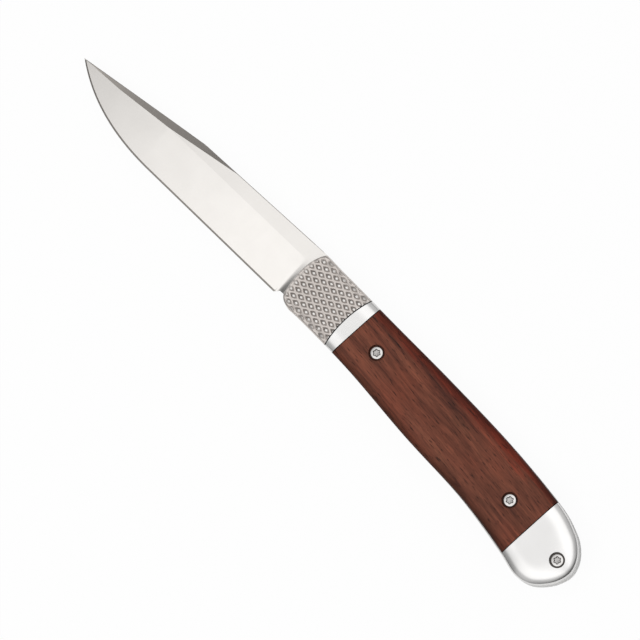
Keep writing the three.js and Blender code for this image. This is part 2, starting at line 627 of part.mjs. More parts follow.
// Lock spring: the leaf, its foot across the lever, and the stud with its collar, staked together
function lockSpring() {
  const half = LEAF_WIDTH / 2;
  const middle = centreAt(LEAF_FOOT_X).y;
  const footHalf = LEAF_POST_SPACING / 2 + LEAF_POST_RADIUS;
  const collar = [
    [0, BLADE_TOP_Z - STUD_DEPTH],
    [STUD_RADIUS, BLADE_TOP_Z - STUD_DEPTH],
    [STUD_RADIUS, LEAF_Z - STUD_COLLAR_HEIGHT],
    [STUD_COLLAR_RADIUS, LEAF_Z - 0.1],
    [STUD_COLLAR_RADIUS, LEAF_Z + 0.1],
    [0, LEAF_Z + 0.1],
  ].map(([r, z]) => new THREE.Vector2(r, z));
  const lathed = solid(new THREE.LatheGeometry(collar, 24).rotateX(Math.PI / 2));
  const stud = lathed.translate([STUD.x, STUD.y, 0]);
  const spring = box(STUD.x, LEAF_FOOT_X, -half, half, LEAF_Z, LEAF_TOP_Z)
    .add(disc(STUD, half, LEAF_Z, LEAF_TOP_Z))
    .add(
      box(
        LEAF_FOOT_X - LEAF_FOOT_LENGTH / 2,
        LEAF_FOOT_X + LEAF_FOOT_LENGTH / 2,
        middle - footHalf,
        middle + footHalf,
        LEAF_Z,
        LEAF_TOP_Z,
      ),
    )
    .add(stud);
  const holes = leafPostPlaces.map((at) => disc(at, LEAF_RIVET_RADIUS + FIXED_FIT, 0, FAR, 20));
  return without(spring, holes);
}

const leafPostPlaces = [-1, 1].map(
  (side) => new THREE.Vector2(LEAF_FOOT_X, centreAt(LEAF_FOOT_X).y + (side * LEAF_POST_SPACING) / 2),
);

const leafPost = (at) =>
  disc(at, LEAF_RIVET_RADIUS, SLOT_TOP_Z, LEAF_TOP_Z + 0.1, 20)
    .add(disc(at, LEAF_POST_RADIUS, COVER_Z, LEAF_Z, 20))
    .add(disc(at, LEAF_RIVET_HEAD_RADIUS, LEAF_TOP_Z, LEAF_TOP_Z + LEAF_RIVET_HEAD_HEIGHT, 20));

// Liners and spacer
function linerBlank(z0, z1) {
  return plate(BLANK_OUTLINE, z0, z1).intersect(behindFrontEdge());
}

function frontLiner() {
  const holes = [
    disc(PIVOT, PIVOT_RADIUS + FIXED_FIT, 0, FAR),
    disc(PIVOT, PIVOT_HEAD_RADIUS + FIXED_FIT, COVER_Z - PIVOT_HEAD_HEIGHT, FAR),
    disc(STOP, STOP_RADIUS + FIXED_FIT, 0, FAR),
    disc(STUD, STUD_RADIUS + SLIDING_GAP, 0, FAR),
    disc(SWING_PIN, SWING_PIN_RADIUS + FIXED_FIT, 0, FAR),
    disc(POST, RETURN_POST_RADIUS + FIXED_FIT, 0, FAR, 16),
    disc(FORE_SCREW, SCREW_RADIUS + FIXED_FIT, 0, FAR),
    disc(AFT_SCREW, SCREW_RADIUS + FIXED_FIT, 0, FAR),
    disc(CAP_SCREW, SCREW_RADIUS + FIXED_FIT, 0, FAR),
    ...leafPostPlaces.map((at) => disc(at, LEAF_RIVET_RADIUS + FIXED_FIT, 0, FAR, 20)),
    ...spacerScrewPlaces.map(spacerScrewHole),
    ...ringDowelPlaces.map(dowelHole),
  ];
  return without(linerBlank(SLOT_TOP_Z, COVER_Z), holes);
}

function backLiner() {
  const holes = [
    disc(PIVOT, SPRING_POCKET_RADIUS, 0, FAR),
    disc(STOP, STOP_RADIUS + FIXED_FIT, 0, FAR),
    disc(FORE_SCREW, SCREW_RADIUS + FIXED_FIT, 0, FAR),
    disc(AFT_SCREW, SCREW_RADIUS + FIXED_FIT, 0, FAR),
    disc(CAP_SCREW, SCREW_RADIUS + FIXED_FIT, 0, FAR),
    ...spacerScrewPlaces.map((at) => mirrored(spacerScrewHole(at))),
    ...ringDowelPlaces.map((at) => mirrored(dowelHole(at))),
    ...bolsterDowelPlaces.map((at) => mirrored(dowelHole(at))),
  ];
  return without(linerBlank(BACK_LINER_Z, SLOT_Z), holes);
}

// The room that the folding blade needs: up to its edge once folded, and inside the circle of its tip.
function foldingRoom() {
  const turn = (x, y) => new THREE.Vector2(x, y).rotateAround(PIVOT, CLOSED_ANGLE);
  const room = [new THREE.Vector2(-FAR, -FAR), new THREE.Vector2(-FAR, 0)];
  const steps = 24;
  for (let i = 0; i <= steps; i += 1) {
    const x = lerp(HEEL_X, TIP_X, i / steps);
    const p = turn(x, edgeHeight(x));
    room.push(new THREE.Vector2(p.x, p.y + SPACER_CLEARANCE));
  }
  const tip = turn(TIP_X, TIP_Y);
  const tipAngle = Math.atan2(tip.y, tip.x) + SPACER_CLEARANCE / TIP_REACH;
  for (let i = 0; i <= 8; i += 1) {
    const angle = lerp(tipAngle, -0.35, i / 8);
    room.push(
      new THREE.Vector2(Math.cos(angle), Math.sin(angle)).multiplyScalar(TIP_REACH + SPACER_CLEARANCE),
    );
  }
  room.push(new THREE.Vector2(room.at(-1).x, -FAR));
  return plate(room, -FAR, FAR);
}

function spacer() {
  const holes = [
    disc(CAP_SCREW, SCREW_RADIUS + FIXED_FIT, 0, FAR),
    ...spacerScrewPlaces.map(spacerScrewHole),
    ...spacerScrewPlaces.map((at) => mirrored(spacerScrewHole(at))),
    foldingRoom(),
    box(-FAR, SPACER_FRONT_X, -FAR, FAR, -FAR, FAR),
  ];
  return without(linerBlank(SLOT_Z, SLOT_TOP_Z), holes);
}

// Covers. The front ones are cut out for the release, and the back ones are plain.
function releaseBolster() {
  const lifted = bolsterBlank().intersect(box(-FAR, FAR, -FAR, FAR, COVER_Z + SLIDING_GAP, FAR));
  const seatTop = LEVER_TOP_Z;
  const bed = leverOutline(SLIDING_GAP, COVER_Z - 1, seatTop);
  const rivets = leverRivetPlaces.map((at) =>
    disc(at, LEVER_RIVET_RADIUS + FIXED_FIT, 0, COVER_Z + LEVER_RIVET_LENGTH, 20),
  );
  return without(lifted, [bed, studRoom(), ...rivets]);
}

function backBolster() {
  const seat = PIVOT_SCREW_DEPTH + PIVOT_SCREW_HEAD_HEIGHT;
  const legAngle = SPRING_START;
  const legDirection = new THREE.Vector2(Math.sin(legAngle), -Math.cos(legAngle));
  const slotHalf = SPRING_WIRE / 2 + FIXED_FIT * 3;
  const start = new THREE.Vector2(Math.cos(legAngle), Math.sin(legAngle)).multiplyScalar(SPRING_RADIUS);
  const out = new THREE.Vector2(Math.cos(legAngle), Math.sin(legAngle)).multiplyScalar(slotHalf);
  const end = start.clone().addScaledVector(legDirection, SPRING_LEG + FIXED_FIT * 4);
  const slot = [start.clone().sub(out), start.clone().add(out), end.clone().add(out), end.clone().sub(out)];
  const ordered = THREE.ShapeUtils.isClockWise(slot) ? slot.reverse() : slot;
  const holes = [
    disc(PIVOT, PIVOT_RADIUS + FIXED_FIT, -1, FAR),
    disc(PIVOT, PIVOT_SCREW_HEAD_RADIUS + FIXED_FIT * 2, -1, seat),
    disc(PIVOT, SPRING_POCKET_RADIUS, SPRING_POCKET_Z, FAR),
    plate(ordered, SPRING_POCKET_Z, FAR),
    ...bolsterDowelPlaces.map((at) => mirrored(dowelHole(at))),
  ];
  return without(mirrored(bolsterBlank()), holes);
}

function frontRing() {
  const stud = studRoom().intersect(box(-FAR, LEAF_FOOT_X, -FAR, FAR, 0, FAR));
  return without(ringBlank(), [releasePocket(), stud, ...ringDowelPlaces.map(dowelHole)]);
}

const scaleScrewHoles = () => [FORE_SCREW, AFT_SCREW].map(coverScrewHole);
const backRing = () => mirrored(without(ringBlank(), ringDowelPlaces.map(dowelHole)));
const frontScale = () => without(scaleBlank(), [releasePocket(), ...scaleScrewHoles()]);
const backScale = () => mirrored(without(scaleBlank(), scaleScrewHoles()));
const frontCap = () => capBlank().subtract(coverScrewHole(CAP_SCREW));
const backCap = () => mirrored(frontCap());

// Blade. The edge runs straight from the heel, then as a parabola that arrives at the tip's slope.
const BELLY_X = TIP_X + BELLY_LENGTH;
const EDGE_SLOPE = (BELLY_Y - HEEL_Y) / (HEEL_X - BELLY_X);
const CORNER_X = (TIP_Y - BELLY_Y + TIP_SLOPE * TIP_X - EDGE_SLOPE * BELLY_X) / (TIP_SLOPE - EDGE_SLOPE);
const CORNER_Y = TIP_Y - TIP_SLOPE * (CORNER_X - TIP_X);

function edgeHeight(x) {
  if (x >= HEEL_X) {
    return lerp(HEEL_Y, RICASSO_Y, Math.min((x - HEEL_X) / (HEEL_GAP / 2), 1));
  }
  if (x >= BELLY_X) {
    return HEEL_Y + EDGE_SLOPE * (HEEL_X - x);
  }
  const a = BELLY_X - 2 * CORNER_X + TIP_X;
  const b = 2 * (BELLY_X - CORNER_X);
  const c = BELLY_X - x;
  const share = (2 * c) / (b + Math.sqrt(Math.max(b * b - 4 * a * c, 0)));
  return (1 - share) ** 2 * BELLY_Y + 2 * share * (1 - share) * CORNER_Y + share ** 2 * TIP_Y;
}

function spineHeight(x) {
  const share = (TIP_X + CLIP_LENGTH - x) / CLIP_LENGTH;
  if (share <= 0) {
    return BLADE_SPINE_Y;
  }
  return lerp(BLADE_SPINE_Y, TIP_Y, share) + 4 * CLIP_BULGE * share * (1 - share);
}

function swedgeHeight(x) {
  const fromTip = x - TIP_X;
  if (fromTip >= SWEDGE_LENGTH) {
    return BLADE_SPINE_Y;
  }
  if (fromTip >= SWEDGE_MEETS_GRIND) {
    const share = (fromTip - SWEDGE_MEETS_GRIND) / (SWEDGE_LENGTH - SWEDGE_MEETS_GRIND);
    return lerp(SWEDGE_MEETS_Y, BLADE_SPINE_Y, share);
  }
  if (fromTip >= SWEDGE_LOW) {
    return lerp(SWEDGE_LOW_Y, SWEDGE_MEETS_Y, (fromTip - SWEDGE_LOW) / (SWEDGE_MEETS_GRIND - SWEDGE_LOW));
  }
  return lerp(TIP_Y, SWEDGE_LOW_Y, fromTip / SWEDGE_LOW);
}

// The blade's cross-section: five lines on its front face, from the edge to the spine, each as a height
// and a half thickness.
function bladeSection(x) {
  const full = BLADE_THICKNESS / 2;
  const fromTip = x - TIP_X;
  const apart = 0.02; // keeps lines that meet from falling on each other
  const edge = edgeHeight(x);
  const spine = Math.max(spineHeight(x), edge + 5 * apart);
  const swedge = Math.min(swedgeHeight(x), spine - apart);
  const meets = TIP_X + SWEDGE_MEETS_GRIND;
  const straightGrind = lerp(GRIND_Y, SWEDGE_MEETS_Y, (HEEL_X - x) / (HEEL_X - meets));
  const grind = Math.min(straightGrind, swedge - apart);
  const bevel = Math.min(edge + EDGE_BEVEL, grind - apart);
  const taper = Math.min(fromTip / SWEDGE_MEETS_GRIND, 1) ** 0.8;
  const crest = lerp(TIP_HALF, full, taper);
  const onClip = smoothstep(TIP_X + SWEDGE_LENGTH - x, 0, SWEDGE_LENGTH - CLIP_LENGTH);
  const back = Math.min(lerp(full, SWEDGE_HALF, onClip), crest);
  const plunge = smoothstep(x, HEEL_X + HEEL_TO_PLUNGE, HEEL_X + HEEL_TO_PLUNGE + PLUNGE_LENGTH);
  return [
    [edge, lerp(EDGE_HALF, full, plunge)],
    [bevel, lerp(Math.min(BEVEL_HALF, crest), full, plunge)],
    [grind, crest],
    [swedge, crest],
    [spine, back],
  ];
}

function bladeLoft(xEnd) {
  const middle = BLADE_Z + BLADE_THICKNESS / 2;
  const stations = [];
  for (let i = 0; i <= 16; i += 1) {
    stations.push(TIP_X + 0.05 + (BELLY_LENGTH - 0.05) * (i / 16) ** 1.4);
  }
  [0.1, 0.25, 0.4, 0.6, 0.8, 1].forEach((share) => stations.push(lerp(BELLY_X, HEEL_X, share)));
  [0.2, 0.4, 0.6, 0.8, 1].forEach((share) => stations.push(lerp(HEEL_X, xEnd, share)));
  const rings = stations.map((x) => {
    const section = bladeSection(x);
    const front = section.map(([y, half]) => new THREE.Vector3(x, y, middle + half));
    const back = section.map(([y, half]) => new THREE.Vector3(x, y, middle - half)).reverse();
    return front.concat(back);
  });
  return skin(rings.reverse());
}

// The tang: a round end with a relief for the stop pin, whose two shoulders stop the blade open and folded.
const RELIEF_RADIUS = STOP_DISTANCE - STOP_RADIUS - FIXED_FIT * 3;

function tang(xFront) {
  const block = [
    [xFront, RICASSO_Y],
    [0, RICASSO_Y],
    [0, edgesAt(0).spine - FIXED_FIT],
    [-3, edgesAt(-3).spine - FIXED_FIT],
    [-HANDLE_FRONT + 1, BLADE_SPINE_Y - FIXED_FIT],
    [-HANDLE_FRONT, BLADE_SPINE_Y],
    [xFront, BLADE_SPINE_Y],
  ].map(([x, y]) => new THREE.Vector2(x, y));
  const shoulder = Math.asin((STOP_RADIUS + FIXED_FIT) / STOP_DISTANCE);
  const from = STOP_ANGLE - CLOSED_ANGLE - shoulder;
  const to = STOP_ANGLE + shoulder;
  const relief = [];
  for (let i = 0; i <= 24; i += 1) {
    const angle = lerp(from, to, i / 24);
    relief.push(new THREE.Vector2(Math.cos(angle), Math.sin(angle)).multiplyScalar(2 * TANG_RADIUS));
  }
  for (let i = 24; i >= 0; i -= 1) {
    const angle = lerp(from, to, i / 24);
    relief.push(new THREE.Vector2(Math.cos(angle), Math.sin(angle)).multiplyScalar(RELIEF_RADIUS));
  }
  return disc(PIVOT, TANG_RADIUS, BLADE_Z, BLADE_TOP_Z, 48)
    .add(plate(block, BLADE_Z, BLADE_TOP_Z))
    .subtract(plate(relief, 0, FAR));
}

function blade() {
  const xJoin = HEEL_X + HEEL_TO_PLUNGE + PLUNGE_LENGTH;
  const foldedStud = STUD.clone().rotateAround(PIVOT, -CLOSED_ANGLE);
  const studHoleZ = BLADE_TOP_Z - STUD_DEPTH - SLIDING_GAP;
  const holes = [
    disc(PIVOT, PIVOT_RADIUS + RUNNING_FIT, 0, FAR, 36),
    disc(PIVOT, SPRING_POCKET_RADIUS, BLADE_Z - 1, BLADE_Z + TANG_RECESS, 36),
    disc(SPRING_HOOK_PLACE, SPRING_WIRE / 2 + FIXED_FIT * 2, BLADE_Z, HOOK_TOP_Z + FIXED_FIT, 16),
    disc(STUD, STUD_RADIUS + SLIDING_GAP, studHoleZ, FAR),
    disc(foldedStud, STUD_RADIUS + SLIDING_GAP, studHoleZ, FAR),
  ];
  const whole = bladeLoft(xJoin + 0.3).add(tang(xJoin));
  return without(whole, holes);
}

// Springs
const SPRING_START = THREE.MathUtils.degToRad(-60);
const SPRING_FOOT_Z = SPRING_POCKET_Z + SPRING_WIRE / 2 + FIXED_FIT;
const SPRING_END = SPRING_START + SPRING_TURNS * 2 * Math.PI;
const SPRING_BEND = 0.6;
const HOOK_TOP_Z = BLADE_Z + TANG_RECESS + SPRING_HOOK;
const SPRING_HOOK_PLACE = new THREE.Vector2(
  SPRING_RADIUS * Math.cos(SPRING_END) - SPRING_BEND * Math.sin(SPRING_END),
  SPRING_RADIUS * Math.sin(SPRING_END) + SPRING_BEND * Math.cos(SPRING_END),
);

function openingSpring() {
  const coil = helix(PIVOT, SPRING_RADIUS, SPRING_FOOT_Z, SPRING_PITCH, SPRING_TURNS, SPRING_START);
  const back = new THREE.Vector3(Math.sin(SPRING_START), -Math.cos(SPRING_START), 0);
  const leg = [1, 0.5].map((share) => coil[0].clone().addScaledVector(back, SPRING_LEG * share));
  const end = coil.at(-1);
  const ahead = new THREE.Vector3(-Math.sin(SPRING_END), Math.cos(SPRING_END), 0);
  const hook = [];
  for (let i = 1; i <= 3; i += 1) {
    const angle = (Math.PI / 2) * (i / 3);
    const point = end.clone().addScaledVector(ahead, SPRING_BEND * Math.sin(angle));
    point.z += SPRING_BEND * (1 - Math.cos(angle));
    hook.push(point);
  }
  const top = hook.at(-1).clone();
  top.z = HOOK_TOP_Z;
  return wire([...leg, ...coil, ...hook, top], SPRING_WIRE / 2);
}

function returnSpring() {
  const foot = LEVER_TOP_Z + RETURN_WIRE / 2 + SLIDING_GAP;
  const start = -Math.PI / 2;
  const coil = helix(SWING_PIN, RETURN_RADIUS, foot, RETURN_PITCH, RETURN_TURNS, start);
  const first = coil[0].clone();
  const last = coil.at(-1).clone();
  const beside = RETURN_POST_RADIUS + RETURN_WIRE / 2 + FIXED_FIT;
  const outFirst = new THREE.Vector3(POST.x - 0.2, POST.y + beside, foot);
  const outLast = new THREE.Vector3(last.x - RETURN_LEG, last.y, last.z);
  const firstLeg = [outFirst, first.clone().lerp(outFirst, 0.5)];
  const lastLeg = [last.clone().lerp(outLast, 0.5), outLast];
  return wire([...firstLeg, ...coil, ...lastLeg], RETURN_WIRE / 2);
}

const swingPin = () => disc(SWING_PIN, SWING_PIN_RADIUS, SLOT_TOP_Z, COVER_Z + SWING_PIN_HEIGHT);

function returnPost() {
  return disc(POST, RETURN_POST_RADIUS, SLOT_TOP_Z, COVER_Z + RETURN_POST_HEIGHT, 16);
}

// Pivot and washers
const PIVOT_SCREW_TOP_Z = PIVOT_SCREW_DEPTH + PIVOT_SCREW_HEAD_HEIGHT + PIVOT_SCREW_LENGTH;

function pivotBarrel() {
  return disc(PIVOT, PIVOT_RADIUS, PIVOT_SCREW_DEPTH + PIVOT_SCREW_HEAD_HEIGHT + 0.1, COVER_Z, 36)
    .add(disc(PIVOT, PIVOT_HEAD_RADIUS, COVER_Z - PIVOT_HEAD_HEIGHT, COVER_Z, 36))
    .subtract(disc(PIVOT, PIVOT_SCREW_RADIUS + FIXED_FIT, 0, PIVOT_SCREW_TOP_Z + FIXED_FIT));
}

function pivotScrew() {
  const upright = screw({
    radius: PIVOT_SCREW_RADIUS,
    length: PIVOT_SCREW_LENGTH,
    headRadius: PIVOT_SCREW_HEAD_RADIUS,
    headHeight: PIVOT_SCREW_HEAD_HEIGHT,
    dome: 0.3,
    socketRadius: 1.4,
    socketDepth: 0.9,
  });
  return upright.mirror([0, 0, 1]).translate([0, 0, PIVOT_SCREW_DEPTH + PIVOT_SCREW_HEAD_HEIGHT]);
}

const washer = (inner, outer, z) =>
  disc(PIVOT, outer, z, z + WASHER_THICKNESS, 36).subtract(disc(PIVOT, inner, 0, FAR, 36));

// Finishes
function finish(color, roughness, metalness) {
  return new THREE.MeshStandardMaterial({ color, roughness, metalness });
}

const bladeSteel = finish(0xd9d7d3, 0.25, 1);
const bolsterMetal = finish(0xcfccc8, 0.3, 1);
const linerSteel = finish(0xb9b8b5, 0.35, 1);
const rosewood = finish(0x6b3a2c, 0.5, 0);
const screwSteel = finish(0xd2cfca, 0.3, 1);
const springSteel = finish(0x8d8b88, 0.35, 1);
const bronze = finish(0xb98a4f, 0.4, 1);

// A named mesh of the body.
function piece(name, body, material) {
  const { vertProperties, triVerts } = body.getMesh();
  const geometry = new THREE.BufferGeometry();
  geometry.setAttribute("position", new THREE.BufferAttribute(new Float32Array(vertProperties), 3));
  geometry.setIndex(new THREE.BufferAttribute(new Uint32Array(triVerts), 1));
  geometry.computeVertexNormals();
  const mesh = new THREE.Mesh(geometry, material);
  mesh.name = name;
  return mesh;
}

// The handle, which stays still
const handle = new THREE.Group();
handle.add(
  piece("front_liner", frontLiner(), linerSteel),
  piece("back_liner", backLiner(), linerSteel),
  piece("spine_spacer", spacer(), linerSteel),
  piece("front_ring", frontRing(), bolsterMetal),
  piece("back_ring", backRing(), bolsterMetal),
  piece("back_bolster", backBolster(), bolsterMetal),
  piece("front_scale", frontScale(), rosewood),
  piece("back_scale", backScale(), rosewood),
  piece("front_butt_cap", frontCap(), bolsterMetal),
  piece("back_butt_cap", backCap(), bolsterMetal),
  piece("pivot_barrel", pivotBarrel(), screwSteel),
  piece("pivot_screw", pivotScrew(), screwSteel),
  piece("front_washer", washer(PIVOT_RADIUS + RUNNING_FIT, FRONT_WASHER_RADIUS, BLADE_TOP_Z), bronze),
  piece("back_washer", washer(SPRING_POCKET_RADIUS + 0.3, BACK_WASHER_RADIUS, SLOT_Z), bronze),
  piece("stop_pin", disc(STOP, STOP_RADIUS, BACK_LINER_Z, COVER_Z), springSteel),
  piece("opening_spring", openingSpring(), springSteel),
  piece("lock_spring", lockSpring(), springSteel),
  piece("swing_pin", swingPin(), springSteel),
  piece("return_spring", returnSpring(), springSteel),
  piece("return_spring_post", returnPost(), springSteel),
);

const sides = [
  ["front", (body) => body],
  ["back", mirrored],
];
sides.forEach(([side, place]) => {
  handle.add(
    piece(`${side}_fore_scale_screw`, place(coverScrew(FORE_SCREW, SCALE_SCREW_LENGTH)), screwSteel),
    piece(`${side}_aft_scale_screw`, place(coverScrew(AFT_SCREW, SCALE_SCREW_LENGTH)), screwSteel),
    piece(`${side}_cap_screw`, place(coverScrew(CAP_SCREW, CAP_SCREW_LENGTH)), screwSteel),
  );
  spacerScrewPlaces.forEach((at, i) => {
    handle.add(piece(`${side}_spacer_screw_${i + 1}`, place(spacerScrew(at)), screwSteel));
  });
  ringDowelPlaces.forEach((at, i) => {
    handle.add(piece(`${side}_ring_dowel_${i + 1}`, place(dowel(at)), springSteel));
  });
});
bolsterDowelPlaces.forEach((at, i) => {
  handle.add(piece(`back_bolster_dowel_${i + 1}`, mirrored(dowel(at)), springSteel));
});
leafPostPlaces.forEach((at, i) => {
  handle.add(piece(`lock_spring_post_${i + 1}`, leafPost(at), springSteel));
});

// The blade, which turns about the pivot
const turning = new THREE.Group();
turning.add(piece("blade", blade(), bladeSteel));

// The release, which swings about its pin
const release = new THREE.Group();
release.add(
  piece("release_bolster", releaseBolster(), bolsterMetal),
  piece("release_lever", releaseLever(), springSteel),
);
leverRivetPlaces.forEach((at, i) => {
  const rivet = disc(at, LEVER_RIVET_RADIUS, COVER_Z, COVER_Z + LEVER_RIVET_LENGTH, 20);
  release.add(piece(`release_rivet_${i + 1}`, rivet, springSteel));
});

const knife = new THREE.Group();
knife.name = "folding_pocket_knife";
knife.add(handle, turning, release);
knife.position.set(-REST.x, -REST.y, 0);

export default knife;
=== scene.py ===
# %% [markdown]
# # A folding pocket knife in Blender
# The CAD model already holds every solid of the knife in its place, with its joints. This lesson gives the
# knife its looks: smooth covers, a chequered bolster, a ground blade, screws, wood and steel.
# Everything is drawn in millimetres about the blade's pivot, with +X to the butt, +Y to the spine and +Z up
# out of the front cover. The last step of each piece moves it into the frame, in metres.

import json
import math

import bmesh
import bpy
import numpy as np
from mathutils import Matrix, Vector


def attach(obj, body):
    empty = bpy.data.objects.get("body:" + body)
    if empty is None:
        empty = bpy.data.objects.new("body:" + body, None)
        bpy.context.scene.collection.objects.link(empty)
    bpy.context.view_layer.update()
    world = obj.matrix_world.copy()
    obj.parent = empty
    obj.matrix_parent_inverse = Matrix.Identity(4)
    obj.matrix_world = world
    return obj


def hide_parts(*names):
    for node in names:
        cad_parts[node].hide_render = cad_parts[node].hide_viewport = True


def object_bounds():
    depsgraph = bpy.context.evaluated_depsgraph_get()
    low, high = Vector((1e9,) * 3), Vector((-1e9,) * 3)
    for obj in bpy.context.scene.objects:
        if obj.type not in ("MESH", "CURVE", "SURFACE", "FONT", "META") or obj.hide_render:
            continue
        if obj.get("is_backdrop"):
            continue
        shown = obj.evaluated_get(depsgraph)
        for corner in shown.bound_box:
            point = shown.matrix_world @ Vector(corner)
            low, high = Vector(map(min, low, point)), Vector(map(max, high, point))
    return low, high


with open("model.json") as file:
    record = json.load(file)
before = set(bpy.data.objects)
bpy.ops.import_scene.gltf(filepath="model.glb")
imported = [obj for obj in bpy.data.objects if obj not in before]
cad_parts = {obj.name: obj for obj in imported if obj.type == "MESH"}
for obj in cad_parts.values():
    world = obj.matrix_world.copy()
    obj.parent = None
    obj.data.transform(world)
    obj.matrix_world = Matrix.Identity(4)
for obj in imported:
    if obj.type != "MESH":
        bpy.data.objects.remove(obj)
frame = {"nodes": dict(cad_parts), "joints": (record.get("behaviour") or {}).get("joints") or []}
cad_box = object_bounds()
joints = {joint["name"]: joint for joint in frame["joints"]}
MM = 0.001
PIVOT = Vector(joints["blade_pivot"]["pos_m"]).xy.to_3d()
SWING_PIN = (Vector(joints["release_swing"]["pos_m"]).xy.to_3d() - PIVOT) / MM
INTO_FRAME = Matrix.Translation(PIVOT) @ Matrix.Scale(MM, 4)
print("CAD nodes:", len(frame["nodes"]), "swing pin from pivot (mm):", SWING_PIN)

# %% [markdown]
# ## The camera
# The photograph looks almost straight down with a long lens, and the picture is turned so that the knife
# lies across it: its butt points 42 degrees below the picture's right. The camera leans 7 degrees from
# overhead towards the butt, so the butt's upright wall shows as a thin crescent and no other wall shows.
# The view is drawn up from three axes: along the knife, across it, and back to the camera.

# %% Camera
MM_PER_PIXEL = 0.2906
PICTURE_PIXELS = 640
PICTURE_CENTRE = (4.45, -5.58, 12)
CAMERA_ROLL = math.radians(42.2)
CAMERA_LEAN = math.radians(7)
CAMERA_DISTANCE = 5
SENSOR = 36


def placed(name, data):
    made = bpy.data.objects.new(name, data)
    bpy.context.scene.collection.objects.link(made)
    return made


def add_camera():
    along = Vector((math.cos(CAMERA_LEAN), 0, -math.sin(CAMERA_LEAN)))
    across = Vector((0, 1, 0))
    right = along * math.cos(CAMERA_ROLL) + across * math.sin(CAMERA_ROLL)
    up = across * math.cos(CAMERA_ROLL) - along * math.sin(CAMERA_ROLL)
    back = right.cross(up)
    data = bpy.data.cameras.new("camera")
    data.sensor_width = SENSOR
    data.lens = SENSOR * CAMERA_DISTANCE / (PICTURE_PIXELS * MM_PER_PIXEL * MM)
    data.clip_start, data.clip_end = 0.05, 20
    camera = placed("camera", data)
    place = INTO_FRAME @ Vector(PICTURE_CENTRE) + back * CAMERA_DISTANCE
    turn = Matrix((right, up, back)).transposed().to_4x4()
    camera.matrix_world = Matrix.Translation(place) @ turn
    bpy.context.scene.camera = camera
    return camera


camera = add_camera()
print("lens:", round(camera.data.lens), "mm")

# %% [markdown]
# ## Light and floor
# Polished steel shows what stands round it, so the room matters more than the lamps. The sky is a soft dome
# with three rules. It is white overhead and grey near the horizon. It darkens behind the camera, past the
# butt. And between the two big softboxes, left and right of the knife, runs a slightly darker gap.
# Flat steel then turns nearly white, a rim turns grey, and the butt's rim shows one dark band.
# The floor is white to the camera and still takes a faint shadow from the knife.
# Node trees take many lines, so four small helpers come first. In wire, a link names the node and output
# that it leaves and the node and input that it enters. An output socket may stand for the first two.

# %% Nodes made short
def add_node(tree, kind, inputs=None, **settings):
    node = tree.nodes.new(kind)
    for name, value in settings.items():
        setattr(node, name, value)
    for name, value in (inputs or {}).items():
        node.inputs[name].default_value = value
    return node


def wire(tree, *links):
    for *start, node, name in links:
        leaves = start[0] if len(start) == 1 else start[0].outputs[start[1]]
        tree.links.new(leaves, node.inputs[name])


def ramp(tree, factor, stops):
    node = add_node(tree, "ShaderNodeValToRGB")
    elements = node.color_ramp.elements
    while len(elements) < len(stops):
        elements.new(0.5)
    for element, (place, colour) in zip(elements, stops):
        element.position = place
        element.color = (*colour, 1)
    wire(tree, (factor, node, "Fac"))
    return node.outputs["Color"]


def multiplied(tree, a, b):
    node = add_node(tree, "ShaderNodeMix", {"Factor": 1}, data_type="RGBA", blend_type="MULTIPLY")
    wire(tree, (a, node, "A"), (b, node, "B"))
    return node.outputs["Result"]


# %% The sky
def grey(value):
    return (value, value, value)


def greys(*stops):
    return [(place, grey(value)) for place, value in stops]


HEIGHT_STOPS = greys((0, 0.14), (0.25, 0.2), (0.5, 0.34), (0.7, 0.52), (0.78, 0.66), (0.85, 1.08), (1, 1.14))
BEHIND_STOPS = greys((0, 0.65), (0.36, 0.62), (0.41, 0.8), (0.44, 0.98), (0.48, 1), (0.72, 1), (0.85, 1.15))
BEHIND_STOPS += greys((0.93, 0.55), (1, 0.42))
GAP_STOPS = greys((0, 0.88), (0.07, 0.89), (0.17, 1.12), (0.65, 1.05), (0.8, 1.4), (0.9, 1.8), (1, 2.4))


def sky_colour(tree):
    way = add_node(tree, "ShaderNodeTexCoord")
    parts = add_node(tree, "ShaderNodeSeparateXYZ")
    behind = add_node(tree, "ShaderNodeMapRange", {"From Min": -1})
    sideways = add_node(tree, "ShaderNodeMath", operation="ABSOLUTE")
    wire(tree, (way, "Generated", parts, 0), (parts, "X", behind, "Value"), (parts, "Y", sideways, 0))
    by_height = ramp(tree, parts.outputs["Z"], HEIGHT_STOPS)
    by_behind = ramp(tree, behind.outputs["Result"], BEHIND_STOPS)
    by_gap = ramp(tree, sideways.outputs[0], GAP_STOPS)
    return multiplied(tree, multiplied(tree, by_height, by_behind), by_gap)


def add_sky():
    world = bpy.data.worlds.new("studio")
    world.use_nodes = True
    tree = world.node_tree
    tree.nodes.clear()
    path = add_node(tree, "ShaderNodeLightPath")
    light = add_node(tree, "ShaderNodeBackground")
    paper = add_node(tree, "ShaderNodeBackground", {"Color": (1, 1, 1, 1)})
    choose = add_node(tree, "ShaderNodeMixShader")
    out = add_node(tree, "ShaderNodeOutputWorld")
    wire(
        tree,
        (sky_colour(tree), light, "Color"),
        (path, "Is Camera Ray", choose, "Fac"),
        (light, 0, choose, 1),
        (paper, 0, choose, 2),
        (choose, 0, out, "Surface"),
    )
    bpy.context.scene.world = world


add_sky()
bpy.context.scene.view_settings.view_transform = "Standard"

# %% The lamp
LAMP_POWER = 2.6
LAMP_SIZE = 0.5
LAMP_AWAY = Vector((-0.1, -0.2, 0.88))


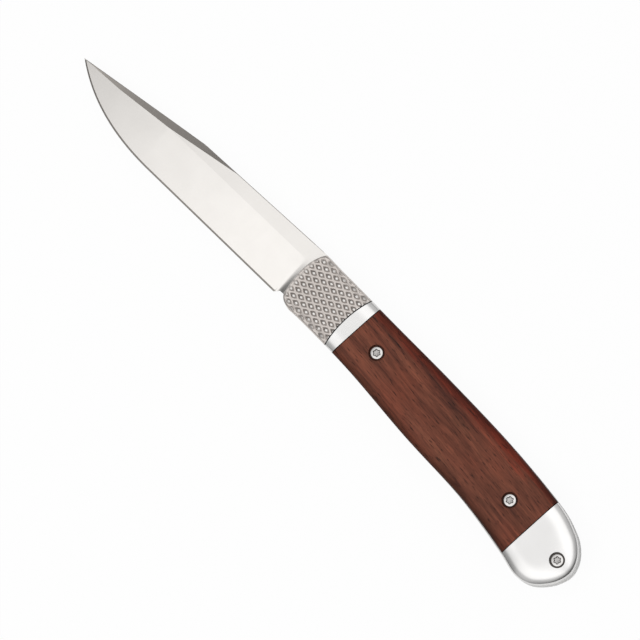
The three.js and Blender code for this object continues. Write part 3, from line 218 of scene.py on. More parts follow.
def add_lamp():
    data = bpy.data.lights.new("softbox", "AREA")
    data.shape = "SQUARE"
    data.size = LAMP_SIZE
    data.energy = LAMP_POWER
    lamp = placed("softbox", data)
    lamp.location = PIVOT + LAMP_AWAY
    lamp.visible_glossy = False
    lamp.rotation_mode = "QUATERNION"
    lamp.rotation_quaternion = LAMP_AWAY.to_track_quat("Z", "Y")


add_lamp()

# %% The floor
FLOOR_SIZE = 4.0
FLOOR_PAPER = 0.95


def paper_material():
    made = bpy.data.materials.new("paper")
    made.use_nodes = True
    tree = made.node_tree
    tree.nodes.clear()
    path = add_node(tree, "ShaderNodeLightPath")
    seen = add_node(tree, "ShaderNodeMath", {1: FLOOR_PAPER}, operation="MULTIPLY")
    lit = add_node(tree, "ShaderNodeBsdfDiffuse", {"Color": (0.9, 0.9, 0.9, 1)})
    white = add_node(tree, "ShaderNodeEmission")
    choose = add_node(tree, "ShaderNodeMixShader")
    out = add_node(tree, "ShaderNodeOutputMaterial")
    wire(
        tree,
        (path, "Is Camera Ray", seen, 0),
        (seen, 0, choose, "Fac"),
        (lit, 0, choose, 1),
        (white, 0, choose, 2),
        (choose, 0, out, "Surface"),
    )
    return made


def add_floor():
    half = FLOOR_SIZE / 2
    mesh = bpy.data.meshes.new("floor")
    corners = [(-half, -half, 0), (half, -half, 0), (half, half, 0), (-half, half, 0)]
    mesh.from_pydata(corners, [], [(0, 1, 2, 3)])
    mesh.materials.append(paper_material())
    placed("floor", mesh)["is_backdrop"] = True


add_floor()

# %% [markdown]
# ## Sizes
# These are the knife's driving sizes, in millimetres, as the CAD model has them. Everything below is worked
# out from them. The front covers stand on the plane COVER_Z, and the back covers are their mirror image.

# %% Sizes through the knife and of the handle
COVER = 4.0
TOP_Z = 14.0
COVER_Z = TOP_Z - COVER
LINER = 1.2
BLADE_Z, BLADE_TOP_Z = 5.5, 8.5
MIDDLE_Z = TOP_Z / 2
JOINT_LINE = 0.26
SLIDING_GAP = 0.1

HANDLE_FRONT = 9.25
HANDLE_BACK = 108.5
BUTT_Y, BUTT_LENGTH, BUTT_DROP, BUTT_RISE = -11, 20, 11.4, 11.2
NOSE_LENGTH = 15
PIVOT_EDGES, WAIST_EDGES = (-9.5, 9.3), (-10.85, 8.15)
SWELL_EDGES, PALM_EDGES = (-14.05, 6.8), (-16.55, 4.8)
WAIST_X, SWELL_X, PALM_X = 20, 45, 70
RIM = 1.8
CROWN_WIDTH = 7
CROWN_POWER = 2.4

SEAM_RADIUS = 37.4
RING_SEAM_X, RING_SEAM_TILT = 14.5, math.radians(6.1)
CAP_SEAM_X, CAP_SEAM_TILT = HANDLE_BACK - 17.05, math.radians(5.8)
FORE_SCREW_X = 23.4
AFT_SCREW_X, AFT_SCREW_RISE = HANDLE_BACK - 27.4, 0.3
CAP_SCREW_X = HANDLE_BACK - 5.4

# %% [markdown]
# ## The handle's outline
# The outline is one closed curve through a few knots, a centripetal Catmull-Rom spline, which never loops
# between knots that stand close together. Its belly and spine are then read off as two heights at any place
# along it.

# %% The outline's knots
def handle_knots():
    nose = -HANDLE_FRONT - NOSE_LENGTH
    low, high = PIVOT_EDGES

    def butt(back, up):
        return (HANDLE_BACK - back * BUTT_LENGTH, BUTT_Y + up)

    belly_edge = [(WAIST_X, WAIST_EDGES[0]), (SWELL_X, SWELL_EDGES[0]), (PALM_X, PALM_EDGES[0])]
    spine_edge = [(PALM_X, PALM_EDGES[1]), (SWELL_X, SWELL_EDGES[1]), (WAIST_X, WAIST_EDGES[1])]
    drops = [(1, 0.82), (0.595, 1), (0.365, 0.94), (0.18, 0.69), (0.05, 0.36)]
    rises = [(0.07, 0.39), (0.24, 0.72), (0.425, 0.9), (0.645, 1.05), (1, 1.18)]
    below = [butt(back, -share * BUTT_DROP) for back, share in drops]
    above = [butt(back, share * BUTT_RISE) for back, share in rises]
    front = [(nose + 0.63 * NOSE_LENGTH, high + 0.025 * NOSE_LENGTH)]
    front += [(nose + 0.2 * NOSE_LENGTH, high - 0.175 * NOSE_LENGTH)]
    start = [(nose, (low + high) / 2), (nose + 0.2 * NOSE_LENGTH, low + 0.2 * NOSE_LENGTH)]
    start += [(nose + 0.63 * NOSE_LENGTH, low + 0.02 * NOSE_LENGTH), (0, low)]
    return [*start, *belly_edge, *below, (HANDLE_BACK, BUTT_Y), *above, *spine_edge, (0, high), *front]


# %% A smooth curve through the knots
def spline(knots, per_span=40):
    p = [np.array(k, float) for k in knots]
    count = len(p)
    found = []
    for i in range(count):
        a, b, c, d = p[i - 1], p[i], p[(i + 1) % count], p[(i + 2) % count]
        ab, bc, cd = (math.sqrt(np.linalg.norm(v - u)) for u, v in ((a, b), (b, c), (c, d)))
        start = ((b - a) / ab - (c - a) / (ab + bc) + (c - b) / bc) * bc
        stop = ((c - b) / bc - (d - b) / (bc + cd) + (d - c) / cd) * bc
        for t in np.arange(per_span) / per_span:
            bend = (3 * (c - b) - 2 * start - stop) * t**2 + (2 * (b - c) + start + stop) * t**3
            found.append(b + start * t + bend)
    return np.array(found)


# %% Belly and spine
outline = spline(handle_knots())
butt_index = int(np.argmax(outline[:, 0]))
belly_side = outline[: butt_index + 1]
spine_side = np.vstack([outline[butt_index:], outline[:1]])[::-1]


def belly(x):
    return float(np.interp(x, belly_side[:, 0], belly_side[:, 1]))


def spine(x):
    return float(np.interp(x, spine_side[:, 0], spine_side[:, 1]))


def centre(x):
    return Vector((x, (belly(x) + spine(x)) / 2, 0))


FORE_SCREW = centre(FORE_SCREW_X)
AFT_SCREW = centre(AFT_SCREW_X) + Vector((0, AFT_SCREW_RISE, 0))
CAP_SCREW = Vector((CAP_SCREW_X, BUTT_Y, 0))
widths = [round(spine(x) - belly(x), 1) for x in (0, CAP_SEAM_X)]
print("handle width at the pivot and at the cap's joint:", widths)

# %% [markdown]
# ## Meshes from rings
# Most solids here are skins over rings of points: a lathe is rings round an axis, the blade is rings along
# its length. One helper joins row to row with quads, another also closes both ends, and a third turns a flat
# outline into an upright plate. Boolean cuts are made with hidden tool objects that are removed afterwards.

# %% Mesh helpers
THROUGH = (-5, 20)


def object_of(name, bm, clean=True):
    if clean:
        bmesh.ops.remove_doubles(bm, verts=bm.verts, dist=1e-5)
        bmesh.ops.recalc_face_normals(bm, faces=bm.faces)
    mesh = bpy.data.meshes.new(name)
    bm.to_mesh(mesh)
    bm.free()
    return placed(name, mesh)


def join_rows(bm, rows, closed=True):
    count = len(rows[0])
    for low, high in zip(rows, rows[1:]):
        for i in range(count if closed else count - 1):
            j = (i + 1) % count
            bm.faces.new((low[i], low[j], high[j], high[i]))


def ringed(name, rings):
    bm = bmesh.new()
    rows = [[bm.verts.new(p) for p in ring] for ring in rings]
    join_rows(bm, rows)
    bm.faces.new(rows[0][::-1])
    bm.faces.new(rows[-1])
    return object_of(name, bm)


def plate(name, points, low, high):
    rings = [[(p[0], p[1], z) for p in points] for z in (low, high)]
    return ringed(name, rings)


def circle(at, radius, sides=96):
    turns = [2 * math.pi * i / sides for i in range(sides)]
    return [(at[0] + radius * math.cos(a), at[1] + radius * math.sin(a)) for a in turns]


def disc(name, at, radius, low, high, sides=96):
    return plate(name, circle(at, radius, sides), low, high)


def block(name, x, y, z):
    return plate(name, [(x[0], y[0]), (x[1], y[0]), (x[1], y[1]), (x[0], y[1])], *z)


def turned(name, profile, at, sides=72):
    rings = [[(*p, z) for p in circle(at, max(r, 1e-4), sides)] for r, z in profile]
    return ringed(name, rings)


# %% Cutting and mirroring
def apply_modifiers(made):
    graph = bpy.context.evaluated_depsgraph_get()
    mesh = bpy.data.meshes.new_from_object(made.evaluated_get(graph))
    made.modifiers.clear()
    old, made.data = made.data, mesh
    mesh.name = made.name
    bpy.data.meshes.remove(old)
    return made


def remove(*made):
    for thing in made:
        bpy.data.objects.remove(thing)


def carve(made, *tools, how="DIFFERENCE"):
    for tool in tools:
        cut = made.modifiers.new("cut", "BOOLEAN")
        cut.operation = how
        cut.solver = "EXACT"
        cut.object = tool
    apply_modifiers(made)
    remove(*tools)
    return made


# %% Copies, halves and marks
def copy_of(made, name):
    return placed(name, made.data.copy())


def flipped(made):
    made.data.transform(Matrix.Translation((0, 0, TOP_Z)) @ Matrix.Diagonal((1, 1, -1, 1)))
    made.data.flip_normals()
    return made


def halve(made, point, away):
    bm = bmesh.new()
    bm.from_mesh(made.data)
    everything = [*bm.verts, *bm.edges, *bm.faces]
    bmesh.ops.bisect_plane(bm, geom=everything, plane_co=point, plane_no=away, clear_outer=True, dist=1e-5)
    bmesh.ops.holes_fill(bm, edges=bm.edges)
    bm.to_mesh(made.data)
    bm.free()
    return made


def mark_faces(made, attribute, chosen):
    marks = made.data.attributes.new(attribute, "FLOAT", "FACE")
    marks.data.foreach_set("value", [float(chosen(face)) for face in made.data.polygons])
    return made


# %% Finishing a piece
FINISHED = []


def finish_piece(made, material, body, slot, *nodes, smooth=32):
    made.data.transform(INTO_FRAME)
    made.data.materials.clear()
    made.data.materials.append(material)
    for face in made.data.polygons:
        face.material_index = 0
        face.use_smooth = True
    made.data.set_sharp_from_angle(angle=math.radians(smooth))
    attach(made, body)
    if nodes:
        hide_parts(*nodes)
    FINISHED.append(made.name)
    return made


# %% [markdown]
# ## Steel
# Bright steel has almost no colour of its own. What makes it real is a little unevenness: a fine brushed line
# in the bump, a slow change in roughness, and a faint warm tint. The brushing is noise stretched a hundred
# times along one direction. Polished, satin and spring steel are the same recipe with other numbers.

# %% One recipe for steel
def stretched(tree, stretch, turn=0.0, **settings):
    place = add_node(tree, "ShaderNodeTexCoord")
    along = {"Rotation": (0, 0, turn), "Scale": [1 / each for each in stretch]}
    mapping = add_node(tree, "ShaderNodeMapping", along, vector_type="TEXTURE")
    kinds = {name.title(): value for name, value in settings.items()}
    noise = add_node(tree, "ShaderNodeTexNoise", {"Scale": 1, **kinds})
    wire(tree, (place, "Object", mapping, 0), (mapping, 0, noise, "Vector"))
    return noise.outputs["Fac"]


def start_material(name, roughness, metallic):
    made = bpy.data.materials.new(name)
    made.use_nodes = True
    shader = made.node_tree.nodes["Principled BSDF"]
    shader.inputs["Roughness"].default_value = roughness
    shader.inputs["Metallic"].default_value = metallic
    return made, made.node_tree, shader


def uneven(tree, shader, lines, gloss, height, strength, distance):
    shine = add_node(tree, "ShaderNodeMapRange", {"To Min": gloss[0], "To Max": gloss[1]})
    bump = add_node(tree, "ShaderNodeBump", {"Strength": strength, "Distance": distance})
    wire(tree, (lines, shine, "Value"), (shine, "Result", shader, "Roughness"))
    wire(tree, (height, bump, "Height"), (bump, "Normal", shader, "Normal"))


def steel(name, light, dark, roughness, brush, strength):
    made, tree, shader = start_material(name, roughness, 1)
    cloud = stretched(tree, grey(120), detail=3.0)
    wire(tree, (ramp(tree, cloud, [(0.35, dark), (0.65, light)]), shader, "Base Color"))
    lines = stretched(tree, brush, detail=4.0, roughness=0.6)
    uneven(tree, shader, lines, (roughness - 0.04, roughness + 0.06), lines, strength, 0.00002)
    return made


# %% [markdown]
# Two more helpers paint shade into a finish. One paints the blade greyer towards its tip. The other reads an
# attribute that a piece carries on its faces or points, and mixes in a dark, dull tone there: painted shade
# in a groove, in a screw's socket and on the walls at the joints, and on the freshly ground planes of the
# blade a duller finish that is also painted shade.

# %% Painted shade and duller places
# Painted shade: multiplies the base colour down along X, so the blade is darker towards its tip.
def painted_shade_along(made, from_to, share):
    tree = made.node_tree
    shader = tree.nodes["Principled BSDF"]
    place = add_node(tree, "ShaderNodeTexCoord")
    parts = add_node(tree, "ShaderNodeSeparateXYZ")
    start, stop = (PIVOT.x + x * MM for x in from_to)
    along = add_node(tree, "ShaderNodeMapRange", {"From Min": start, "From Max": stop, "To Min": share})
    both = add_node(tree, "ShaderNodeVectorMath", operation="SCALE")
    bright = shader.inputs["Base Color"].links[0].from_socket
    wire(tree, (place, "Object", parts, 0), (parts, "X", along, "Value"))
    wire(tree, (bright, both, 0), (along, "Result", both, "Scale"), (both, 0, shader, "Base Color"))


# Mixes a dark tone where an attribute is high: painted shade in grooves, sockets and joint walls, and on the
# blade's ground planes a duller finish that is also painted shade.
def dull_finish_and_painted_shade(made, attribute, colour, roughness, start=0.45, stop=0.55):
    tree = made.node_tree
    shader = tree.nodes["Principled BSDF"]
    mark = add_node(tree, "ShaderNodeAttribute", attribute_name=attribute)
    share = ramp(tree, mark.outputs["Fac"], greys((start, 0), (stop, 1)))
    for socket, value in (("Base Color", colour), ("Roughness", grey(roughness))):
        bright = shader.inputs[socket].links[0].from_socket
        mixed = add_node(tree, "ShaderNodeMix", {"B": (*value, 1)}, data_type="RGBA")
        wire(tree, (share, mixed, "Factor"), (bright, mixed, "A"), (mixed, "Result", shader, socket))


# %% The finishes in metal
BLADE_LIGHT, BLADE_DARK = (0.935, 0.905, 0.87), (0.91, 0.88, 0.845)
POLISHED_LIGHT, POLISHED_DARK = (0.87, 0.86, 0.85), (0.84, 0.83, 0.82)
CHEQUER_LIGHT, CHEQUER_DARK = (0.86, 0.83, 0.8), (0.82, 0.79, 0.76)
LINER_LIGHT, LINER_DARK = (0.72, 0.715, 0.7), (0.64, 0.635, 0.62)
BLUED_LIGHT, BLUED_DARK = (0.42, 0.42, 0.43), (0.3, 0.3, 0.31)
# The blade's colour is painted greyer towards the tip, as painted shade.
TIP_PAINTED_SHADE, TIP_PAINTED_SHADE_FROM_TO = 0.81, (-95, -30)

blade_finish = steel("satin_blade_steel", BLADE_LIGHT, BLADE_DARK, 0.24, (9000, 180, 900), 0.15)
bolster_finish = steel("polished_bolster_steel", POLISHED_LIGHT, POLISHED_DARK, 0.17, (500, 6000, 900), 0.04)
chequer_finish = steel("chequered_steel", CHEQUER_LIGHT, CHEQUER_DARK, 0.28, grey(2500), 0.1)
liner_finish = steel("brushed_liner_steel", LINER_LIGHT, LINER_DARK, 0.3, (200, 7000, 7000), 0.3)
screw_finish = steel("screw_steel", (0.8, 0.78, 0.76), (0.74, 0.72, 0.7), 0.22, (5000, 5000, 900), 0.1)
spring_finish = steel("blued_spring_steel", BLUED_LIGHT, BLUED_DARK, 0.32, grey(3000), 0.2)
bronze_finish = steel("washer_bronze", (0.72, 0.5, 0.26), (0.6, 0.4, 0.2), 0.34, grey(1500), 0.3)
painted_shade_along(blade_finish, TIP_PAINTED_SHADE_FROM_TO, TIP_PAINTED_SHADE)
# Painted shade below: dark tones on the joint walls, counterbores, grooves and screw sockets. On the blade's
# ground planes the tone is a duller finish and also painted shade.
dull_finish_and_painted_shade(blade_finish, "ground", (0.51, 0.475, 0.44), 0.36, 0, 1)
dull_finish_and_painted_shade(bolster_finish, "recess", (0.2, 0.18, 0.165), 0.5)
dull_finish_and_painted_shade(chequer_finish, "groove", (0.62, 0.56, 0.52), 0.38, 0, 1)
dull_finish_and_painted_shade(chequer_finish, "recess", (0.06, 0.055, 0.05), 0.6)
dull_finish_and_painted_shade(screw_finish, "recess", (0.12, 0.11, 0.105), 0.45, 0, 1)

# %% [markdown]
# ## Rosewood
# The wood is a red-brown with long darker streaks, fine lighter fibres and short black pores, all running
# lengthwise and leaning a few degrees, as the grain does in the photograph. Each layer is a noise and a tint
# that multiplies the colour: streaks, slow clouds, fibres and pores. The pores also sink into the bump. Two
# layers follow the shape. The wood is redder towards the spine, up to a ragged line that a noise shifts to
# and fro. And painted shade makes it darker where the crown turns down at its edges.

# %% The wood's colours
GRAIN_TURN = math.radians(-8)
SPINE_HEIGHT, SPINE_SLOPE, RAGGED = 8.9, 0.075, 7
RED_FADE = (3.2, 0.6)
WOOD_STOPS = [(0.3, (0.065, 0.018, 0.011)), (0.42, (0.125, 0.037, 0.021))]
WOOD_STOPS += [(0.56, (0.175, 0.053, 0.03)), (0.7, (0.225, 0.072, 0.04))]
CLOUD_TINTS = [(0.3, (0.78, 0.85, 0.85)), (0.5, (1, 1, 1)), (0.7, (1.18, 1.05, 1.0))]
RED_TINTS = [(0, (1, 1, 1)), (1, (1.2, 0.66, 0.56))]
FIBRE_TINTS = [(0.3, grey(0.72)), (0.52, grey(1.0)), (0.7, (1.3, 1.22, 1.18))]
PORE_STOPS = greys((0.3, 0.35), (0.39, 1))
# Painted shade: the colour is darkened where the surface leans away from upright.
EDGE_PAINTED_SHADE_STOPS = greys((0.5, 0.25), (0.85, 0.45), (0.97, 0.85), (1, 1))


# %% Where the wood is redder, and where painted shade darkens it
def tinted(tree, colour, factor, stops):
    return multiplied(tree, colour, ramp(tree, factor, stops))


def towards_spine(tree):
    place = add_node(tree, "ShaderNodeTexCoord")
    patches = stretched(tree, (60, 500, 300), GRAIN_TURN, detail=4.0)
    ragged = add_node(tree, "ShaderNodeMath", {1: RAGGED}, operation="MULTIPLY_ADD")
    height_per_metre = {1: (SPINE_SLOPE / MM, 1 / MM, 0)}
    across = add_node(tree, "ShaderNodeVectorMath", height_per_metre, operation="DOT_PRODUCT")
    full = SPINE_HEIGHT + SPINE_SLOPE * PIVOT.x / MM + PIVOT.y / MM + RAGGED / 2
    limits = {"From Min": full - RED_FADE[0], "From Max": full - RED_FADE[1]}
    share = add_node(tree, "ShaderNodeMapRange", limits, interpolation_type="SMOOTHSTEP")
    wire(tree, (place, "Object", across, 0), (patches, ragged, 0), (across, "Value", ragged, 2))
    wire(tree, (ragged, 0, share, "Value"))
    return share.outputs["Result"]


def upright(tree):
    facing = add_node(tree, "ShaderNodeTexCoord")
    parts = add_node(tree, "ShaderNodeSeparateXYZ")
    either_side = add_node(tree, "ShaderNodeMath", operation="ABSOLUTE")
    wire(tree, (facing, "Normal", parts, 0), (parts, "Z", either_side, 0))
    return either_side.outputs[0]


# %% The wood's finish
def rosewood():
    made, tree, shader = start_material("rosewood", 0.42, 0)
    shader.inputs["Specular IOR Level"].default_value = 0.18
    streaks = stretched(tree, (34, 400, 300), GRAIN_TURN, detail=5.0, roughness=0.6, distortion=0.9)
    clouds = stretched(tree, (45, 130, 130), GRAIN_TURN, detail=2.0)
    fibres = stretched(tree, (190, 3000, 1500), GRAIN_TURN, detail=3.0, roughness=0.65)
    pores = stretched(tree, (330, 2300, 1500), GRAIN_TURN, detail=1.5)
    colour = tinted(tree, ramp(tree, streaks, WOOD_STOPS), clouds, CLOUD_TINTS)
    colour = tinted(tree, colour, towards_spine(tree), RED_TINTS)
    colour = tinted(tree, colour, fibres, FIBRE_TINTS)
    sunk = ramp(tree, pores, PORE_STOPS)
    colour = multiplied(tree, colour, sunk)
    # Painted shade at the crown's edges, by how far the surface leans from upright.
    colour = tinted(tree, colour, upright(tree), EDGE_PAINTED_SHADE_STOPS)
    wire(tree, (colour, shader, "Base Color"))
    uneven(tree, shader, fibres, (0.5, 0.38), sunk, 0.35, 0.00004)
    return made


wood_finish = rosewood()
print("wood finish:", len(wood_finish.node_tree.nodes), "nodes")

# %% [markdown]
# ## The crowned blank
# All covers of one side are cut from one crowned blank, so their surfaces run on across the joints. From each
# point of the outline a line goes in to the ridge: straight across along the handle, and to one point in the
# round butt. Along that line the height follows a superellipse, steep at the rim and flat after seven
# millimetres. The wood has a blank of its own, because its belly is sanded a little further in towards the
# butt, which bares a thin bright line of the liner.
# A subdivided cage could do this too, but the rule gives the exact rim and height that the CAD model has.

# %% Crowned blank
RIDGE_END = centre(HANDLE_BACK - 12)
BLANK_FRONT = -12.0
STATION = 0.8
CROWN_RINGS = 22
PAST_RIDGE = 100
SANDED_BELLY, SANDED_FROM_TO = 0.4, (56, 84)


def sanded(x):
    return SANDED_BELLY * float(np.interp(x, SANDED_FROM_TO, (0, 1)))


def rim_and_ridge(inset=lambda x: 0):
    stations = np.arange(BLANK_FRONT, RIDGE_END.x, STATION)
    pairs = [((x, belly(x) + inset(x)), tuple(centre(x).xy)) for x in stations]
    round_end = [p for p in outline if p[0] >= RIDGE_END.x]
    pairs += [(tuple(p), tuple(RIDGE_END.xy)) for p in round_end[::3]]
    pairs += [((x, spine(x)), tuple(centre(x).xy)) for x in stations[::-1]]
    return pairs


def crown(inset):
    share = min(max(inset / CROWN_WIDTH, 0), 1)
    return RIM + (COVER - RIM) * (1 - (1 - share) ** CROWN_POWER) ** (1 / CROWN_POWER)


def crowned_blank(inset=lambda x: 0):
    pairs = [(Vector(rim), Vector(ridge)) for rim, ridge in rim_and_ridge(inset)]
    bm = bmesh.new()

    def ring(inset, z):
        points = [rim.lerp(ridge, min(inset / (ridge - rim).length, 1)) for rim, ridge in pairs]
        return [bm.verts.new((p.x, p.y, COVER_Z + z)) for p in points]

    rows = [ring(PAST_RIDGE, 0), ring(0, 0), ring(0, RIM)]
    for k in range(1, CROWN_RINGS + 1):
        inset = CROWN_WIDTH * (1 - math.cos(math.pi / 2 * k / CROWN_RINGS) ** (2 / CROWN_POWER))
        rows.append(ring(inset, crown(inset)))
    rows.append(ring(PAST_RIDGE, COVER))
    join_rows(bm, rows, closed=False)
    bmesh.ops.remove_doubles(bm, verts=bm.verts, dist=1e-5)
    bmesh.ops.dissolve_degenerate(bm, edges=bm.edges, dist=1e-6)
    bmesh.ops.holes_fill(bm, edges=bm.edges)
    return object_of("blank", bm)


blank, wood_blank = crowned_blank(), crowned_blank(sanded)
print("blank:", len(blank.data.polygons), "faces")

# %% [markdown]
# ## Rings, scales and butt caps
# The blank is cut across along three lines. The seam behind the front bolster is an arc about the hidden pin
# that the bolster swings on, and the two joints of the wood are straight. A counterbore with a broken edge
# takes each screw, and the front covers are hollow where the release works under them.

# %% Cutting the covers
SCREW_SINK = 0.25
HEAD_HEIGHT = 1.25
HEAD_RADIUS = 1.9
SHANK_RADIUS, SHANK_GAP = 1.25, 0.05
COUNTERBORE = 2.3
EDGE_BREAK = 0.12
SEAM_BREAK = 0.08
SEAT_Z = TOP_Z - SCREW_SINK - HEAD_HEIGHT


def screw_hole(at):
    profile = [
        (SHANK_RADIUS + SHANK_GAP, COVER_Z - 1),
        (SHANK_RADIUS + SHANK_GAP, SEAT_Z),
        (COUNTERBORE, SEAT_Z),
        (COUNTERBORE, TOP_Z - EDGE_BREAK),
        (COUNTERBORE + EDGE_BREAK * 2, TOP_Z + EDGE_BREAK),
        (COUNTERBORE + EDGE_BREAK * 2, TOP_Z + 1),
    ]
    return turned("hole", profile, at)


# %% Seams and joints
ACROSS = 0.8


def seam_line(x, tilt, keep_behind):
    across = Vector((-math.cos(tilt), math.sin(tilt), 0))
    return (x, 0, 0), across if keep_behind else -across


def seam_cylinder(radius):
    return disc("seam", SWING_PIN, radius, *THROUGH, sides=720)


# %% Ring, scale and cap
def ring_cover(name):
    made = halve(copy_of(blank, name), *seam_line(RING_SEAM_X, RING_SEAM_TILT, False))
    carve(made, seam_cylinder(SEAM_RADIUS - SEAM_BREAK), how="INTERSECT")
    # Painted shade: the ring's walls at both joints are marked, and the finish paints them dark.
    return mark_faces(made, "recess", lambda face: abs(face.normal.x) > ACROSS)


def scale_cover(name):
    made = halve(copy_of(wood_blank, name), *seam_line(RING_SEAM_X + JOINT_LINE, RING_SEAM_TILT, True))
    halve(made, *seam_line(CAP_SEAM_X, CAP_SEAM_TILT, False))
    return carve(made, screw_hole(FORE_SCREW), screw_hole(AFT_SCREW))


def cap_cover(name):
    made = halve(copy_of(blank, name), *seam_line(CAP_SEAM_X + JOINT_LINE, CAP_SEAM_TILT, True))
    carve(made, screw_hole(CAP_SCREW))

    # Painted shade: the cap's wall at its joint and the inside of its counterbore are marked, and the finish
    # paints them dark.
    def in_recess(face):
        in_hole = (face.center.xy - CAP_SCREW.xy).length < COUNTERBORE + 0.01
        return face.normal.x < -ACROSS or (in_hole and face.center.z < TOP_Z - EDGE_BREAK)

    return mark_faces(made, "recess", in_recess)


# %% Room for the release under the front covers
LEVER_TOP = COVER_Z + 0.8
LEVER_ROOM_TOP = LEVER_TOP + 0.25
LEAF_ROOM_TOP = COVER_Z + 2.5
COIL_ROOM_TOP = COVER_Z + 2.75
PAD_ROOM = ((-3.6, 9.6), (-7.8, 6.2))
ARM_ROOM = ((7, 47.5), (-7.6, 3.6))
LEAF_ROOM = ((2.2, 18.5), (-3.2, 2.6))
FOOT_ROOM = ((15.9, 20.5), (-8.8, 6.8))
LEGS_ROOM = ((38.1, 47.4), (-9.3, 0.6))
HUB_RADIUS = 4.3
FOOT_LOWER = 0.7


def release_rooms():
    floor = COVER_Z - 1
    return [
        block("pad", *PAD_ROOM, (floor, LEVER_ROOM_TOP)),
        block("arm", *ARM_ROOM, (floor, LEVER_ROOM_TOP)),
        block("leaf", *LEAF_ROOM, (floor, LEAF_ROOM_TOP)),
        block("foot", *FOOT_ROOM, (floor, LEAF_ROOM_TOP - FOOT_LOWER)),
        disc("hub", SWING_PIN, HUB_RADIUS, floor, COIL_ROOM_TOP),
        block("legs", *LEGS_ROOM, (floor, COIL_ROOM_TOP)),
    ]


def dress_cover(side, kind, make, material, slot, hollow):
    made = make(f"{side}_{kind}_dressed")
    if side == "front" and hollow:
        carve(made, *release_rooms())
    if side == "back":
        flipped(made)
    return finish_piece(made, material, "handle", slot, f"{side}_{kind}")


for side in ("front", "back"):
    dress_cover(side, "ring", ring_cover, bolster_finish, "bolster_metal", hollow=True)
    dress_cover(side, "scale", scale_cover, wood_finish, "rosewood", hollow=True)
    dress_cover(side, "butt_cap", cap_cover, bolster_finish, "bolster_metal", hollow=False)
print("covers:", FINISHED)

# %% [markdown]
# ## The chequered bolsters
# The bolster's grip is a lattice of small four-sided studs with round flat tops, milled into the crown. The
# tops lean a little towards the butt, so that the light falls on one side of each stud, as in the photograph.
# Geometry Nodes set one tile on every point of the lattice, join the tiles into one sheet, and drop the sheet
# on the crown by casting a ray down from each of its points. Near the rims the depth fades out, as the cutter
# leaves the crown. The tile also carries painted shade, dark in the groove, which the finish reads.
# The sheet is then closed below and cut to the bolster's plan.

# %% One tile of the lattice
CELL_LENGTH = 3.96
CELL_WIDTH = 2.19
STUD_DEPTH = 0.45
STUD_TOP = (0.45, 0.3, 0.6)
STUD_FOOT = (1.3, 0.8, 0.35)
STUD_LEAN = 0.1
CELL = (CELL_LENGTH / 2, CELL_WIDTH / 2, 0.0)
# Each ring gives shape, size, depth and its painted shade, 1 darkest. FLOOR_SHADE is the painted shade of the
# groove's floor.
TILE_RINGS = [(STUD_TOP, 0.5, 0, 0), (STUD_TOP, 1, 0, 0.05), (STUD_TOP, 1.3, -0.12, 0.7)]
TILE_RINGS += [(STUD_FOOT, 0.88, -0.85, 1), (STUD_FOOT, 1.02, -1, 0.8)]
FLOOR_SHADE = 0.75
PER_SIDE = 5


def ring_point(ring, t):
    along, across, roundness = ring
    turn = 2 * math.pi * t
    oval = Vector((along * math.cos(turn), across * math.sin(turn)))
    corners = [Vector((along, 0)), Vector((0, across)), Vector((-along, 0)), Vector((0, -across))]
    side = int(t * 4) % 4
    flat = corners[side].lerp(corners[(side + 1) % 4], t * 4 - side)
    return flat.lerp(oval, roundness)


def make_tile():
    bm = bmesh.new()
    shade = bm.verts.layers.float.new("shade")
    steps = [k / (4 * PER_SIDE) for k in range(4 * PER_SIDE)]
    rows = []

    def add_ring(points, depth, dark):
        lean = STUD_LEAN * (1 + depth)
        ring = [bm.verts.new((p.x + lean, p.y, depth * STUD_DEPTH)) for p in points]
        for v in ring:
            v[shade] = dark
        rows.append(ring)

    for shape, share, depth, dark in TILE_RINGS:
        add_ring([ring_point(shape, t) * share for t in steps], depth, dark)
    for share in (0.3, 1.0):
        add_ring([ring_point(STUD_FOOT, t).lerp(ring_point(CELL, t), share) for t in steps], -1, FLOOR_SHADE)
    hub = bm.verts.new((STUD_LEAN, 0, 0))
    count = len(steps)
    for i in range(count):
        bm.faces.new((hub, rows[0][i], rows[0][(i + 1) % count]))
        for low, high in zip(rows, rows[1:]):
            bm.faces.new((low[i], high[i], high[(i + 1) % count], low[(i + 1) % count]))
    return object_of("tile", bm, clean=False)


# %% Trees made short
def label_of(name):
    return name.replace("_", " ").title()


def new_tree(name, **inputs):
    tree = bpy.data.node_groups.new(name, "GeometryNodeTree")
    for label, kind in {"geometry": "Geometry", **inputs}.items():
        tree.interface.new_socket(label_of(label), in_out="INPUT", socket_type="NodeSocket" + kind)
    tree.interface.new_socket("Geometry", in_out="OUTPUT", socket_type="NodeSocketGeometry")
    return tree, add_node(tree, "NodeGroupInput"), add_node(tree, "NodeGroupOutput")


def math_node(tree, how, a, b):
    node = add_node(tree, "ShaderNodeMath", operation=how)
    for socket, value in zip(node.inputs, (a, b)):
        if isinstance(value, (int, float)):
            socket.default_value = value
        else:
            tree.links.new(value, socket)
    return node.outputs[0]


def own_value(tree, name, kind="FLOAT"):
    node = add_node(tree, "GeometryNodeInputNamedAttribute", {"Name": name}, data_type=kind)
    return node.outputs[0]


def run_tree(made, tree, **values):
    modifier = made.modifiers.new(tree.name, "NODES")
    modifier.node_group = tree
    given = [item for item in tree.interface.items_tree if item.in_out == "INPUT"]
    sockets = {item.name: item.identifier for item in given}
    for name, value in values.items():
        modifier[sockets[label_of(name)]] = value
    return apply_modifiers(made)


# %% The points of the lattice
LATTICE_SPAN = (28, 24)
RAY_FROM, RAY_LENGTH = 100, 200


